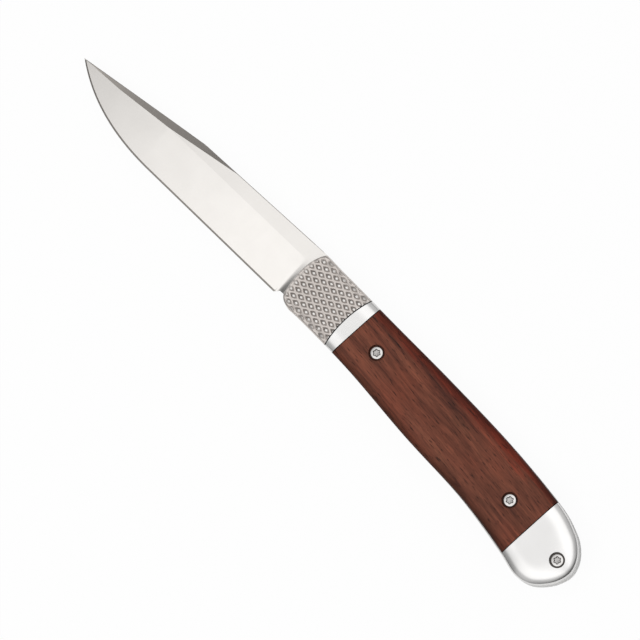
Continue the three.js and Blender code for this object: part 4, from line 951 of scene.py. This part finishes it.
def lattice_points(tree, given):
    join = add_node(tree, "GeometryNodeJoinGeometry")
    for shift in (0, 0.5):
        grid = add_node(tree, "GeometryNodeMeshGrid")
        offset = add_node(tree, "ShaderNodeCombineXYZ")
        move = add_node(tree, "GeometryNodeSetPosition")
        for axis, size, count in (("X", "Cell Length", "Columns"), ("Y", "Cell Width", "Rows")):
            cell = given.outputs[size]
            steps = math_node(tree, "SUBTRACT", given.outputs[count], 1)
            wire(
                tree,
                (math_node(tree, "MULTIPLY", cell, steps), grid, "Size " + axis),
                (given, count, grid, "Vertices " + axis),
                (math_node(tree, "MULTIPLY", cell, shift), offset, axis),
            )
        wire(tree, (grid, "Mesh", move, "Geometry"), (offset, 0, move, "Offset"), (move, 0, join, 0))
    return join.outputs[0]


# %% The tree that lays the lattice on the crown
def lattice_tree():
    kinds = {"cell_length": "Float", "cell_width": "Float", "tile": "Object"}
    kinds |= {"columns": "Int", "rows": "Int", "finish": "Material"}
    tree, given, out = new_tree("chequered lattice", **kinds)
    tile = add_node(tree, "GeometryNodeObjectInfo", transform_space="ORIGINAL")
    spread = add_node(tree, "GeometryNodeInstanceOnPoints")
    realize = add_node(tree, "GeometryNodeRealizeInstances")
    weld = add_node(tree, "GeometryNodeMergeByDistance", {"Distance": 0.01})
    wire(
        tree,
        (given, "Tile", tile, 0),
        (lattice_points(tree, given), spread, "Points"),
        (tile, "Geometry", spread, "Instance"),
        (spread, 0, realize, 0),
        (realize, 0, weld, 0),
    )
    place = add_node(tree, "GeometryNodeInputPosition")
    parts = add_node(tree, "ShaderNodeSeparateXYZ")
    above = add_node(tree, "ShaderNodeCombineXYZ", {"Z": RAY_FROM})
    drop = add_node(tree, "GeometryNodeRaycast", {"Ray Length": RAY_LENGTH}, data_type="FLOAT")
    hit = add_node(tree, "ShaderNodeSeparateXYZ")
    wire(
        tree,
        (place, 0, parts, 0),
        (parts, "X", above, "X"),
        (parts, "Y", above, "Y"),
        (given, "Geometry", drop, "Target Geometry"),
        (above, 0, drop, "Source Position"),
        (own_value(tree, "depth_share"), drop, "Attribute"),
        (drop, "Hit Position", hit, 0),
    )
    share = [socket for socket in drop.outputs if socket.name == "Attribute"][0]
    depth = math_node(tree, "MULTIPLY", parts.outputs["Z"], share)
    # Painted shade for the finish: the tile's shade, going over to FLOOR_SHADE where the depth fades out near
    # the rims.
    shade = add_node(tree, "ShaderNodeMix", {"A": FLOOR_SHADE}, data_type="FLOAT")
    kept = {"data_type": "FLOAT", "domain": "POINT"}
    store = add_node(tree, "GeometryNodeStoreNamedAttribute", {"Name": "groove"}, **kept)
    landed = add_node(tree, "ShaderNodeCombineXYZ")
    lay = add_node(tree, "GeometryNodeSetPosition")
    finish = add_node(tree, "GeometryNodeSetMaterial")
    wire(
        tree,
        (own_value(tree, "shade"), shade, "B"),
        (share, shade, "Factor"),
        (weld, 0, store, "Geometry"),
        (shade, "Result", store, "Value"),
        (parts, "X", landed, "X"),
        (parts, "Y", landed, "Y"),
        (math_node(tree, "ADD", hit.outputs["Z"], depth), landed, "Z"),
        (store, 0, lay, "Geometry"),
        (landed, 0, lay, "Position"),
        (lay, 0, finish, "Geometry"),
        (given, "Finish", finish, "Material"),
        (finish, 0, out, 0),
    )
    return tree


# %% The bolsters' front edge
def bezier(a, b, c, steps=16):
    a, b, c = Vector(a), Vector(b), Vector(c)
    return [(1 - t) ** 2 * a + 2 * t * (1 - t) * b + t * t * c for t in np.linspace(0, 1, steps).tolist()]


FRONT_CORNER = (2.65, 8.4)
LOW_CORNER = (5.2, 2.9)
LOW_SETBACK = 0.7


def front_edge():
    (across, down), (low_across, up) = FRONT_CORNER, LOW_CORNER
    high, low = spine(across - HANDLE_FRONT), belly(across - HANDLE_FRONT)
    foremost = (-HANDLE_FRONT, high - down)
    setback = (LOW_SETBACK - HANDLE_FRONT, low + up)
    bend = (0.11 * across - HANDLE_FRONT, high - 0.38 * down)
    low_bend = (0.24 * low_across - HANDLE_FRONT, low + 0.25 * up)
    top = bezier((across - HANDLE_FRONT, high), bend, foremost)
    middle = bezier(foremost, (-HANDLE_FRONT, (foremost[1] + setback[1]) / 2), setback)
    bottom = bezier(setback, low_bend, (low_across - HANDLE_FRONT, low))
    return [*top, *middle[1:], *bottom[1:]]


# %% The crown under the bolster
FRONT_ROUND, FRONT_DROP = 1.0, 0.22
FRONT_MARGIN = (0.3, 1.4)
RIM_MARGIN = (0.4, 1.2)
FRONT_EDGE = np.array([tuple(p) for p in front_edge()])


def smooth_share(x, low, high):
    t = min(max((x - low) / (high - low), 0), 1)
    return t * t * (3 - 2 * t)


def behind_front(x, y):
    if x > FRONT_EDGE[-1][0]:
        return x - FRONT_EDGE[:, 0].min()
    start, step = FRONT_EDGE[:-1], FRONT_EDGE[1:] - FRONT_EDGE[:-1]
    share = np.clip(((np.array((x, y)) - start) * step).sum(1) / (step**2).sum(1), 0, 1)
    apart = np.linalg.norm(start + share[:, None] * step - (x, y), axis=1).min()
    foremost = np.interp(-y, -FRONT_EDGE[:, 1], FRONT_EDGE[:, 0])
    return float(apart if x > foremost else -apart)


def crown_point(x, y):
    from_rim, from_front = min(y - belly(x), spine(x) - y), behind_front(x, y)
    into = min(max(from_front / FRONT_ROUND, 0), 1)
    height = COVER_Z + crown(from_rim) - FRONT_DROP * (1 - into) ** 2
    share = smooth_share(from_front, *FRONT_MARGIN) * smooth_share(from_rim, *RIM_MARGIN)
    return (x, y, height), share


# %% The chequered sheet
SHEET_FROM_TO, SHEET_HALF_WIDTH, SHEET_SKIRT = (-20, 20), 13, 4
FINE_FROM_TO, COARSE_FROM = (-10, -3), -2.5


def crown_sheet():
    fine, coarse = np.linspace(*FINE_FROM_TO, 71), np.linspace(COARSE_FROM, SHEET_FROM_TO[1], 40)
    xs = [SHEET_FROM_TO[0], *fine.tolist(), *coarse.tolist()]
    ys = np.linspace(-SHEET_HALF_WIDTH, SHEET_HALF_WIDTH, 261).tolist()
    points, shares = zip(*(crown_point(x, y) for y in ys for x in xs))
    count = len(xs)
    corners = [i + j * count for j in range(len(ys) - 1) for i in range(count - 1)]
    faces = [(at, at + 1, at + 1 + count, at + count) for at in corners]
    mesh = bpy.data.meshes.new("crown_sheet")
    mesh.from_pydata(points, [], faces)
    mesh.attributes.new("depth_share", "FLOAT", "POINT").data.foreach_set("value", shares)
    return placed("crown_sheet", mesh)


def chequered_sheet():
    tile = make_tile()
    sheet = run_tree(
        crown_sheet(),
        lattice_tree(),
        cell_length=CELL_LENGTH,
        cell_width=CELL_WIDTH,
        tile=tile,
        columns=round(LATTICE_SPAN[0] / CELL_LENGTH),
        rows=round(LATTICE_SPAN[1] / CELL_WIDTH),
        finish=chequer_finish,
    )
    remove(tile)
    bm = bmesh.new()
    bm.from_mesh(sheet.data)
    edge = [e for e in bm.edges if e.is_boundary]
    skirt = bmesh.ops.extrude_edge_only(bm, edges=edge)["geom"]
    for v in (g for g in skirt if isinstance(g, bmesh.types.BMVert)):
        v.co.z = COVER_Z - SHEET_SKIRT
    bmesh.ops.holes_fill(bm, edges=[g for g in skirt if isinstance(g, bmesh.types.BMEdge)])
    remove(sheet)
    return object_of("chequered_sheet", bm)


# %% The bolsters' plan
BARREL_HOLE, SPRING_POCKET = 2.55, 4.6
PIVOT_COUNTERBORE, PIVOT_SEAT, POCKET_FLOOR = 3.6, 1.5, 2.5
PAD_HOLLOW = ((-2.8, 30), (-5.8, 5.8))
STUD_HOLLOW = ((2.1, 30), (-4.2, 4.2))
RIVETS = [(-1.2, -4.2), (-1.2, 4.2)]
RIVET_HOLE, RIVET_ROOM = 0.95, 2.2
FAR_ACROSS, FAR_BACK = 40, 200


def behind_front_edge():
    edge = front_edge()
    points = [(edge[0].x, FAR_ACROSS), *edge, (edge[-1].x, -FAR_ACROSS)]
    return plate("behind_front_edge", [*points, (FAR_BACK, -FAR_ACROSS), (FAR_BACK, FAR_ACROSS)], *THROUGH)


def bolster_plan(low):
    stations = np.arange(BLANK_FRONT, 20, STATION)
    points = [(x, belly(x)) for x in stations] + [(x, spine(x)) for x in stations[::-1]]
    plan = plate("plan", points, low, 20)
    carve(plan, behind_front_edge(), how="INTERSECT")
    return carve(plan, seam_cylinder(SEAM_RADIUS + 2 * SLIDING_GAP + SEAM_BREAK))


def release_hollows():
    low = THROUGH[0]
    pad = block("pad", *PAD_HOLLOW, (low, LEVER_TOP))
    stud = block("stud_hollow", *STUD_HOLLOW, (low, LEAF_ROOM_TOP))
    return [pad, stud] + [disc("rivet_hole", at, RIVET_HOLE, low, COVER_Z + RIVET_ROOM, 32) for at in RIVETS]


def pivot_recess():
    head = disc("recess", (0, 0), PIVOT_COUNTERBORE, TOP_Z - PIVOT_SEAT, THROUGH[1])
    shaft = disc("shaft", (0, 0), BARREL_HOLE, *THROUGH)
    pocket = disc("pocket", (0, 0), SPRING_POCKET, THROUGH[0], TOP_Z - POCKET_FLOOR)
    return [head, shaft, pocket]


# %% The two bolsters
def bolster_from(sheet, name, low):
    return carve(copy_of(sheet, name), bolster_plan(low), how="INTERSECT")


# Painted shade: the bolster's wall at the joint behind it is marked, and the finish paints it dark.
def is_seam(face):
    return face.normal.x > ACROSS


sheet = chequered_sheet()
release = bolster_from(sheet, "release_bolster_dressed", COVER_Z + SLIDING_GAP)
mark_faces(carve(release, *release_hollows()), "recess", is_seam)
finish_piece(release, chequer_finish, "release", "bolster_metal", "release_bolster", smooth=24)
back_bolster = mark_faces(bolster_from(sheet, "back_bolster_dressed", COVER_Z), "recess", is_seam)
flipped(carve(back_bolster, *pivot_recess()))
finish_piece(back_bolster, chequer_finish, "handle", "bolster_metal", "back_bolster", smooth=24)
remove(sheet, blank, wood_blank)
print("chequered bolster:", len(release.data.polygons), "faces")

# %% [markdown]
# ## Screws
# The six screws in the covers are alike: a round head with a broken edge and a six-lobed socket. One screw
# is made as a skin over rings, and Geometry Nodes set a copy on each place. The back ones stand on their
# heads, so every place carries its own turn as an attribute.

# %% One screw
SOCKET, LOBE, SOCKET_DEPTH = 0.98, 0.13, 0.75
HEAD_EDGE = [(0, 0.26), (0.05, 0.12), (0.14, 0.04), (0.28, 0)]
SOCKET_MOUTH = [(0.24, 0), (0.03, 0.2)]


def lobed(radius, lobe, sides=72):
    turns = [2 * math.pi * i / sides for i in range(sides)]
    return [(radius + lobe * math.cos(6 * a), a) for a in turns]


def screw_mesh(head, height, shank, length, socket=SOCKET, lobe=LOBE, depth=SOCKET_DEPTH):
    mouth = socket - lobe
    profile = [(shank - 0.2, 0, -length), (shank, 0, 0.2 - length), (shank, 0, 0), (head - 0.05, 0, 0)]
    profile += [(head, 0, 0.05), *((head - inward, 0, height - down) for inward, down in HEAD_EDGE)]
    profile += [(mouth + outward, lobe, height - down) for outward, down in SOCKET_MOUTH]
    profile += [(mouth, lobe, height - depth), (0.15, 0, height - depth - 0.1)]
    rings = []
    for radius, wave, z in profile:
        rings.append([(r * math.cos(a), r * math.sin(a), z) for r, a in lobed(radius, wave)])
    made = ringed("screw", rings)

    # Painted shade in the socket: the walls are marked 1 and the floor 0.4, and the finish paints them dark.
    def in_socket(face):
        outside = face.center.xy.length > mouth + lobe + SOCKET_MOUTH[0][0]
        if outside or not 0 < face.center.z < height - 0.02:
            return 0
        return 0.4 if face.center.z < height - depth - 0.005 else 1

    return mark_faces(made, "recess", in_socket)


# %% The tree that sets the screws
def screw_tree():
    tree, given, out = new_tree("set screws", screw="Object", finish="Material")
    source = add_node(tree, "GeometryNodeObjectInfo", transform_space="ORIGINAL")
    as_turn = add_node(tree, "FunctionNodeEulerToRotation")
    spread = add_node(tree, "GeometryNodeInstanceOnPoints")
    realize = add_node(tree, "GeometryNodeRealizeInstances")
    finish = add_node(tree, "GeometryNodeSetMaterial")
    wire(
        tree,
        (given, "Screw", source, 0),
        (given, "Geometry", spread, "Points"),
        (source, "Geometry", spread, "Instance"),
        (own_value(tree, "turn", "FLOAT_VECTOR"), as_turn, 0),
        (as_turn, 0, spread, "Rotation"),
        (spread, 0, realize, 0),
        (realize, 0, finish, "Geometry"),
        (given, "Finish", finish, "Material"),
        (finish, 0, out, 0),
    )
    return tree


def set_screws(name, places, screw):
    mesh = bpy.data.meshes.new(name)
    mesh.from_pydata([p for p, _ in places], [], [])
    turns = mesh.attributes.new("turn", "FLOAT_VECTOR", "POINT")
    turns.data.foreach_set("vector", [v for _, turn in places for v in turn])
    made = run_tree(placed(name, mesh), screw_tree(), screw=screw, finish=screw_finish)
    remove(screw)
    return made


def both_sides(spots):
    found = []
    for at, spin in spots:
        found.append(((at.x, at.y, SEAT_Z), (0, 0, spin)))
        found.append(((at.x, at.y, TOP_Z - SEAT_Z), (math.pi, 0, spin)))
    return found


def nodes_of(*kinds):
    return [f"{side}_{kind}_screw" for side in ("front", "back") for kind in kinds]


# %% The screws in place
SCALE_SCREW_END = 8.9
CAP_SCREW_LENGTH = 5.0

scale_screw = screw_mesh(HEAD_RADIUS, HEAD_HEIGHT, SHANK_RADIUS, SEAT_Z - SCALE_SCREW_END)
scale_screws = set_screws("scale_screws", both_sides([(FORE_SCREW, 0.3), (AFT_SCREW, 0.1)]), scale_screw)
finish_piece(scale_screws, screw_finish, "handle", "screw_steel", *nodes_of("fore_scale", "aft_scale"))
cap_screw = screw_mesh(HEAD_RADIUS, HEAD_HEIGHT, SHANK_RADIUS, CAP_SCREW_LENGTH)
cap_screws = set_screws("cap_screws", both_sides([(CAP_SCREW, 0.2)]), cap_screw)
finish_piece(cap_screws, screw_finish, "handle", "screw_steel", *nodes_of("cap"))
pivot_screw = screw_mesh(head=3.5, height=1.2, shank=1.5, length=6.5, socket=1.45, lobe=0.2, depth=0.85)
pivot_place = [((0, 0, PIVOT_SEAT), (math.pi, 0, 0.4))]
pivot_screw = set_screws("pivot_screw_dressed", pivot_place, pivot_screw)
finish_piece(pivot_screw, screw_finish, "handle", "screw_steel", "pivot_screw")
print("screws:", [made.name for made in (scale_screws, cap_screws, pivot_screw)])

# %% [markdown]
# ## The blade
# A blade is a bar of steel with planes ground on it, and each plane ends in a line that runs along the blade.
# At each station along the length the section is known: the edge, the top of the small sharpened bevel, the
# grind line, the line of the swedge on the clip, and the spine with its broken edge. The blade is a skin over
# these sections. The lines are kept sharp. Just before the bolster the grind runs out: each plane rises to
# the tang's full thickness along a soft S, and the rise bends forward where it meets the grind line.

# %% Blade sizes
BLADE_SPINE = 9.85
CLIP_LENGTH, CLIP_BULGE = 43.5, 0.05
TIP = (4.05 - CAP_SCREW_X, 4.85)
HEEL = (-HANDLE_FRONT - 2.65, -8.5)
HEEL_STEP = 1.3
RICASSO_Y = -7.1
BELLY = (TIP[0] + 35.8, -6.87)
TIP_SLOPE = 0.8
GRIND_Y = 4.9
SWEDGE_LENGTH = 57.5
SWEDGE_MEETS, SWEDGE_MEETS_Y = 32.5, 6.35
SWEDGE_LOW, SWEDGE_LOW_Y = 13.8, 5
EDGE_BEVEL = 0.55
SPINE_BREAK = 0.15
HEEL_FADE = 0.3
EDGE_HALF, BEVEL_HALF, SWEDGE_HALF, TIP_HALF = 0.03, 0.3, 0.4, 0.2
PLUNGE_X, PLUNGE_RUN, PLUNGE_CORNER = -11.2, 2.6, 2.4
FULL_HALF = (BLADE_TOP_Z - BLADE_Z) / 2
CLOSED_ANGLE = math.radians(joints["blade_pivot"]["range_deg"][1])


def mix(a, b, t):
    return a + (b - a) * t


# %% The lines on the blade
EDGE_SLOPE = (BELLY[1] - HEEL[1]) / (HEEL[0] - BELLY[0])
CORNER_X = (TIP[1] - BELLY[1] + TIP_SLOPE * TIP[0] - EDGE_SLOPE * BELLY[0]) / (TIP_SLOPE - EDGE_SLOPE)
CORNER_Y = TIP[1] - TIP_SLOPE * (CORNER_X - TIP[0])


def edge_line(x):
    if x >= HEEL[0]:
        return mix(HEEL[1], RICASSO_Y, min((x - HEEL[0]) / HEEL_STEP, 1))
    if x >= BELLY[0]:
        return HEEL[1] + EDGE_SLOPE * (HEEL[0] - x)
    a, b, c = BELLY[0] - 2 * CORNER_X + TIP[0], 2 * (BELLY[0] - CORNER_X), BELLY[0] - x
    t = 2 * c / (b + math.sqrt(max(b * b - 4 * a * c, 0)))
    return (1 - t) ** 2 * BELLY[1] + 2 * t * (1 - t) * CORNER_Y + t * t * TIP[1]


def spine_line(x):
    t = (TIP[0] + CLIP_LENGTH - x) / CLIP_LENGTH
    if t <= 0:
        return BLADE_SPINE
    return mix(BLADE_SPINE, TIP[1], t) + 4 * CLIP_BULGE * t * (1 - t)


def swedge_line(x):
    places = [TIP[0], TIP[0] + SWEDGE_LOW, TIP[0] + SWEDGE_MEETS, TIP[0] + SWEDGE_LENGTH]
    return float(np.interp(x, places, [TIP[1], SWEDGE_LOW_Y, SWEDGE_MEETS_Y, BLADE_SPINE]))


def grind_line(x):
    return mix(GRIND_Y, SWEDGE_MEETS_Y, (HEEL[0] - x) / (HEEL[0] - TIP[0] - SWEDGE_MEETS))


# %% The section's corners
def blade_lines(x):
    apart = 0.02
    edge = edge_line(x)
    top = max(spine_line(x), edge + 6 * apart)
    chamfer = min(SPINE_BREAK, 0.2 * (top - edge))
    swedge = min(swedge_line(x), top - chamfer - apart)
    grind = min(grind_line(x), swedge - apart)
    bevel = min(edge + EDGE_BEVEL, grind - apart)
    taper = min((x - TIP[0]) / SWEDGE_MEETS, 1) ** 0.8
    crest = mix(TIP_HALF, FULL_HALF, taper)
    on_clip = smooth_share(TIP[0] + SWEDGE_LENGTH - x, 0, SWEDGE_LENGTH - CLIP_LENGTH)
    back = min(mix(FULL_HALF, SWEDGE_HALF, on_clip), crest)
    thin = min(BEVEL_HALF, crest)
    ground_from = min(edge, HEEL[1] if x > HEEL[0] else edge) + EDGE_BEVEL

    def ground(y):
        return mix(thin, crest, max(y - ground_from, 0) / max(grind - ground_from, apart))

    sharp = mix(EDGE_HALF, ground(edge), smooth_share(x, HEEL[0], HEEL[0] + HEEL_FADE))
    lines = [(edge, sharp), (bevel, ground(bevel)), (grind, crest), (swedge, crest)]
    return lines + [(top - chamfer, back), (top, back - min(0.7 * SPINE_BREAK, back / 2))]


# %% Where the grind runs out
def plunge(x, y, grind):
    into_corner = PLUNGE_CORNER - (grind - y)
    bend = PLUNGE_CORNER - math.sqrt(PLUNGE_CORNER**2 - max(into_corner, 0) ** 2)
    return smooth_share(x + bend, PLUNGE_X, PLUNGE_X + PLUNGE_RUN)


def blade_section(x, between=(1, 14, 2, 3, 1)):
    lines = blade_lines(x)
    grind, crest = lines[2]
    points = [lines[0]]
    for (low, high), steps in zip(zip(lines, lines[1:]), between):
        points += [tuple(mix(a, b, k / steps) for a, b in zip(low, high)) for k in range(1, steps + 1)]
    raised = [(y, mix(half, crest, plunge(x, y, grind)) if y < grind else half) for y, half in points]
    front = [(x, y, MIDDLE_Z + half) for y, half in raised]
    return front + [(x, y, MIDDLE_Z - half) for y, half in raised[::-1]]


# %% The tang's plan and the stations
TANG_RADIUS = 9.2
STOP_RADIUS, STOP_DISTANCE, STOP_ANGLE = 1.25, 7.7, math.radians(78)
RELIEF_RADIUS = STOP_DISTANCE - STOP_RADIUS - 0.15
JOIN_X = PLUNGE_X + PLUNGE_RUN
TUCKED, HEEL_ARC_END = 0.05, -2.4


def arc(radius, turns):
    return [(radius * math.cos(a), radius * math.sin(a)) for a in turns]


def tang_plan():
    shoulder = math.asin((STOP_RADIUS + 0.05) / STOP_DISTANCE)
    first, last = STOP_ANGLE + shoulder, STOP_ANGLE - CLOSED_ANGLE - shoulder
    relief = arc(RELIEF_RADIUS, np.linspace(first, last, 72))
    heel = arc(TANG_RADIUS, np.linspace(last, HEEL_ARC_END, 12))
    top = [(1 - HANDLE_FRONT, BLADE_SPINE - TUCKED), (-3, spine(-3) - TUCKED), (0, spine(0) - 2 * TUCKED)]
    return [*top, *arc(TANG_RADIUS, [first]), *relief, *heel]


def blade_stations():
    first = TIP[0] + 0.02
    near_tip = [first + (BELLY[0] - first) * (i / 60) ** 1.5 for i in range(60)]
    straight = list(np.linspace(BELLY[0], HEEL[0], 50)[:-1])
    run_out = list(np.linspace(HEEL[0], JOIN_X, 40))
    return near_tip + straight + run_out


# %% The blade's skin
def forged_blade():
    bm = bmesh.new()
    rows = [[bm.verts.new(p) for p in blade_section(x)] for x in blade_stations()]
    join_rows(bm, rows)
    bm.faces.new(rows[0][::-1])
    half = len(rows[0]) // 2
    side = rows[-1][:half], rows[-1][half:][::-1]
    plan = tang_plan()
    walls = [[bm.verts.new((x, y, z)) for x, y in plan] for z in (BLADE_TOP_Z, BLADE_Z)]
    for face, wall in zip(side, walls):
        bm.faces.new([*face, *wall])
    loop = [[face[-1], *wall, face[0]] for face, wall in zip(side, walls)]
    join_rows(bm, loop, closed=False)
    bmesh.ops.triangulate(bm, faces=[f for f in bm.faces if len(f.verts) > 4])
    return object_of("blade_dressed", bm)


# %% The holes in the tang
PIVOT_HOLE = 2.56
STUD_DISTANCE, STUD_HOLE, STUD_DEPTH_IN_TANG = 4.9, 0.9, 1.1
HOOK_ANGLE, HOOK_DISTANCE, HOOK_HOLE, HOOK_DEPTH = math.radians(57.6), 3.45, 0.6, 1.95


def tang_holes():
    open_stud, folded_stud = arc(STUD_DISTANCE, [0, -CLOSED_ANGLE])
    hook = arc(HOOK_DISTANCE, [HOOK_ANGLE])[0]
    stud_floor = BLADE_TOP_Z - STUD_DEPTH_IN_TANG
    return [
        disc("pivot_hole", (0, 0), PIVOT_HOLE, 0, THROUGH[1]),
        disc("spring_recess", (0, 0), SPRING_POCKET, 0, BLADE_Z + 1),
        disc("lock_hole", open_stud, STUD_HOLE, stud_floor, THROUGH[1], 48),
        disc("folded_lock_hole", folded_stud, STUD_HOLE, stud_floor, THROUGH[1], 48),
        disc("hook_hole", hook, HOOK_HOLE, 0, BLADE_Z + HOOK_DEPTH, 32),
    ]


# %% Sharp lines and ground faces
def sharpen_lines(made):
    for edge in made.data.edges:
        ends = [made.data.vertices[i].co for i in edge.vertices]
        if max(p.x for p in ends) > HEEL[0] + 0.01:
            continue
        lines = [blade_lines(p.x) for p in ends]
        if any(all(abs(p.y - rows[k][0]) < 1e-3 for p, rows in zip(ends, lines)) for k in (1, 2, 3, 4)):
            edge.use_edge_sharp = True


# The ground planes are the edge bevel, the swedge and the spine's broken edge. Their finish is duller, and
# their darker colour is also painted shade for the dark lines these planes show.
def is_ground_with_painted_shade(face):
    x, y = face.center.xy
    if x > HEEL[0] + 0.1:
        return False
    lines = blade_lines(x)
    bevel, swedge, top = lines[1][0], lines[3][0], lines[4][0]
    return y < bevel or y > min(swedge, top)


blade = carve(forged_blade(), *tang_holes())
sharpen_lines(blade)
mark_faces(blade, "ground", is_ground_with_painted_shade)
sharp = [edge.use_edge_sharp for edge in blade.data.edges]
finish_piece(blade, blade_finish, "blade", "blade_steel", "blade", smooth=30)
for edge, kept in zip(blade.data.edges, sharp):
    edge.use_edge_sharp = edge.use_edge_sharp or kept
print("blade:", len(blade.data.polygons), "faces,", sum(sharp), "line edges kept sharp")

# %% [markdown]
# ## Liners and spacer
# The liners and the spacer are plain plates, and only their edges show, as bright lines between the covers.
# They are drawn again here on the smooth outline, so that their edges follow the covers' rims.

# %% Liners and spacer
SPACER_FRONT = 20
SPACER_CLEARANCE = 0.7
STOP = arc(STOP_DISTANCE, [STOP_ANGLE])[0]
STOP_HOLE, SWING_HOLE = 1.3, 1.55
BARREL_HEAD, BARREL_HEAD_SINK = 3.35, 0.6
ROOM_LOW, ROOM_ARC_END = -60, -0.35


def outline_plate(name, low, high):
    pairs = rim_and_ridge()
    made = plate(name, [rim for rim, _ in pairs], low, high)
    return carve(made, behind_front_edge(), how="INTERSECT")


def folding_room():
    turn = Matrix.Rotation(CLOSED_ANGLE, 2)
    points = [Vector((ROOM_LOW, ROOM_LOW)), Vector((ROOM_LOW, 0))]
    for x in np.linspace(HEEL[0], TIP[0], 60):
        points.append(turn @ Vector((x, edge_line(x))) + Vector((0, SPACER_CLEARANCE)))
    tip = turn @ Vector(TIP)
    reach = tip.length + SPACER_CLEARANCE
    first = math.atan2(tip.y, tip.x) + SPACER_CLEARANCE / tip.length
    points += [Vector((math.cos(a), math.sin(a))) * reach for a in np.linspace(first, ROOM_ARC_END, 24)]
    points.append(Vector((points[-1].x, ROOM_LOW)))
    return plate("folding_room", points, *THROUGH)


def screw_shafts():
    screws = (FORE_SCREW, AFT_SCREW, CAP_SCREW)
    return [disc("shaft", at, SHANK_RADIUS + SHANK_GAP, *THROUGH, 48) for at in screws]


# %% The plates
front_liner = outline_plate("front_liner_dressed", COVER_Z - LINER, COVER_Z)
carve(
    front_liner,
    *screw_shafts(),
    disc("barrel", (0, 0), BARREL_HOLE, *THROUGH),
    disc("stop", STOP, STOP_HOLE, *THROUGH, 48),
)
carve(
    front_liner,
    disc("barrel_head", (0, 0), BARREL_HEAD, COVER_Z - BARREL_HEAD_SINK, THROUGH[1]),
    disc("stud", (STUD_DISTANCE, 0), STUD_HOLE, *THROUGH, 48),
)
carve(front_liner, disc("swing", SWING_PIN, SWING_HOLE, *THROUGH, 48))
finish_piece(front_liner, liner_finish, "handle", "liner_steel", "front_liner")
back_liner = outline_plate("back_liner_dressed", COVER, COVER + LINER)
carve(
    back_liner,
    *screw_shafts(),
    disc("spring", (0, 0), SPRING_POCKET, *THROUGH),
    disc("stop", STOP, STOP_HOLE, *THROUGH, 48),
)
finish_piece(back_liner, liner_finish, "handle", "liner_steel", "back_liner")
spacer = outline_plate("spine_spacer_dressed", COVER + LINER, COVER_Z - LINER)
in_front = block("front", (-FAR_ACROSS, SPACER_FRONT), (-FAR_ACROSS, FAR_ACROSS), THROUGH)
carve(spacer, folding_room(), in_front, *screw_shafts())
finish_piece(spacer, liner_finish, "handle", "liner_steel", "spine_spacer")
print("plates:", FINISHED[-3:])

# %% [markdown]
# ## The hidden pieces
# The springs, pins, rivets, dowels and washers inside are right as the CAD model has them. They only need
# their finish, which goes on each node's own material slot.

# %% Finishes for the CAD nodes that stay
def hidden_finish(name):
    if "washer" in name:
        return bronze_finish
    if "spacer_screw" in name or name == "pivot_barrel":
        return screw_finish
    if "spring" in name and "post" not in name:
        return spring_finish
    return liner_finish


for name, node in frame["nodes"].items():
    node.data.materials.clear()
    node.data.materials.append(hidden_finish(name))
kept = [name for name, node in frame["nodes"].items() if not node.hide_render]
print("CAD nodes that stay:", len(kept), kept)

# %% [markdown]
# ## Sizes and the end
# Both boxes, of the CAD model and of the dressed knife, are printed in millimetres.

# %% Both boxes
dressed_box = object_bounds()
boxes = {"cad": [list(corner) for corner in cad_box], "dressed": [list(corner) for corner in dressed_box]}
for name, corners in boxes.items():
    print(name, [round((high - low) / MM, 2) for low, high in zip(*corners)])
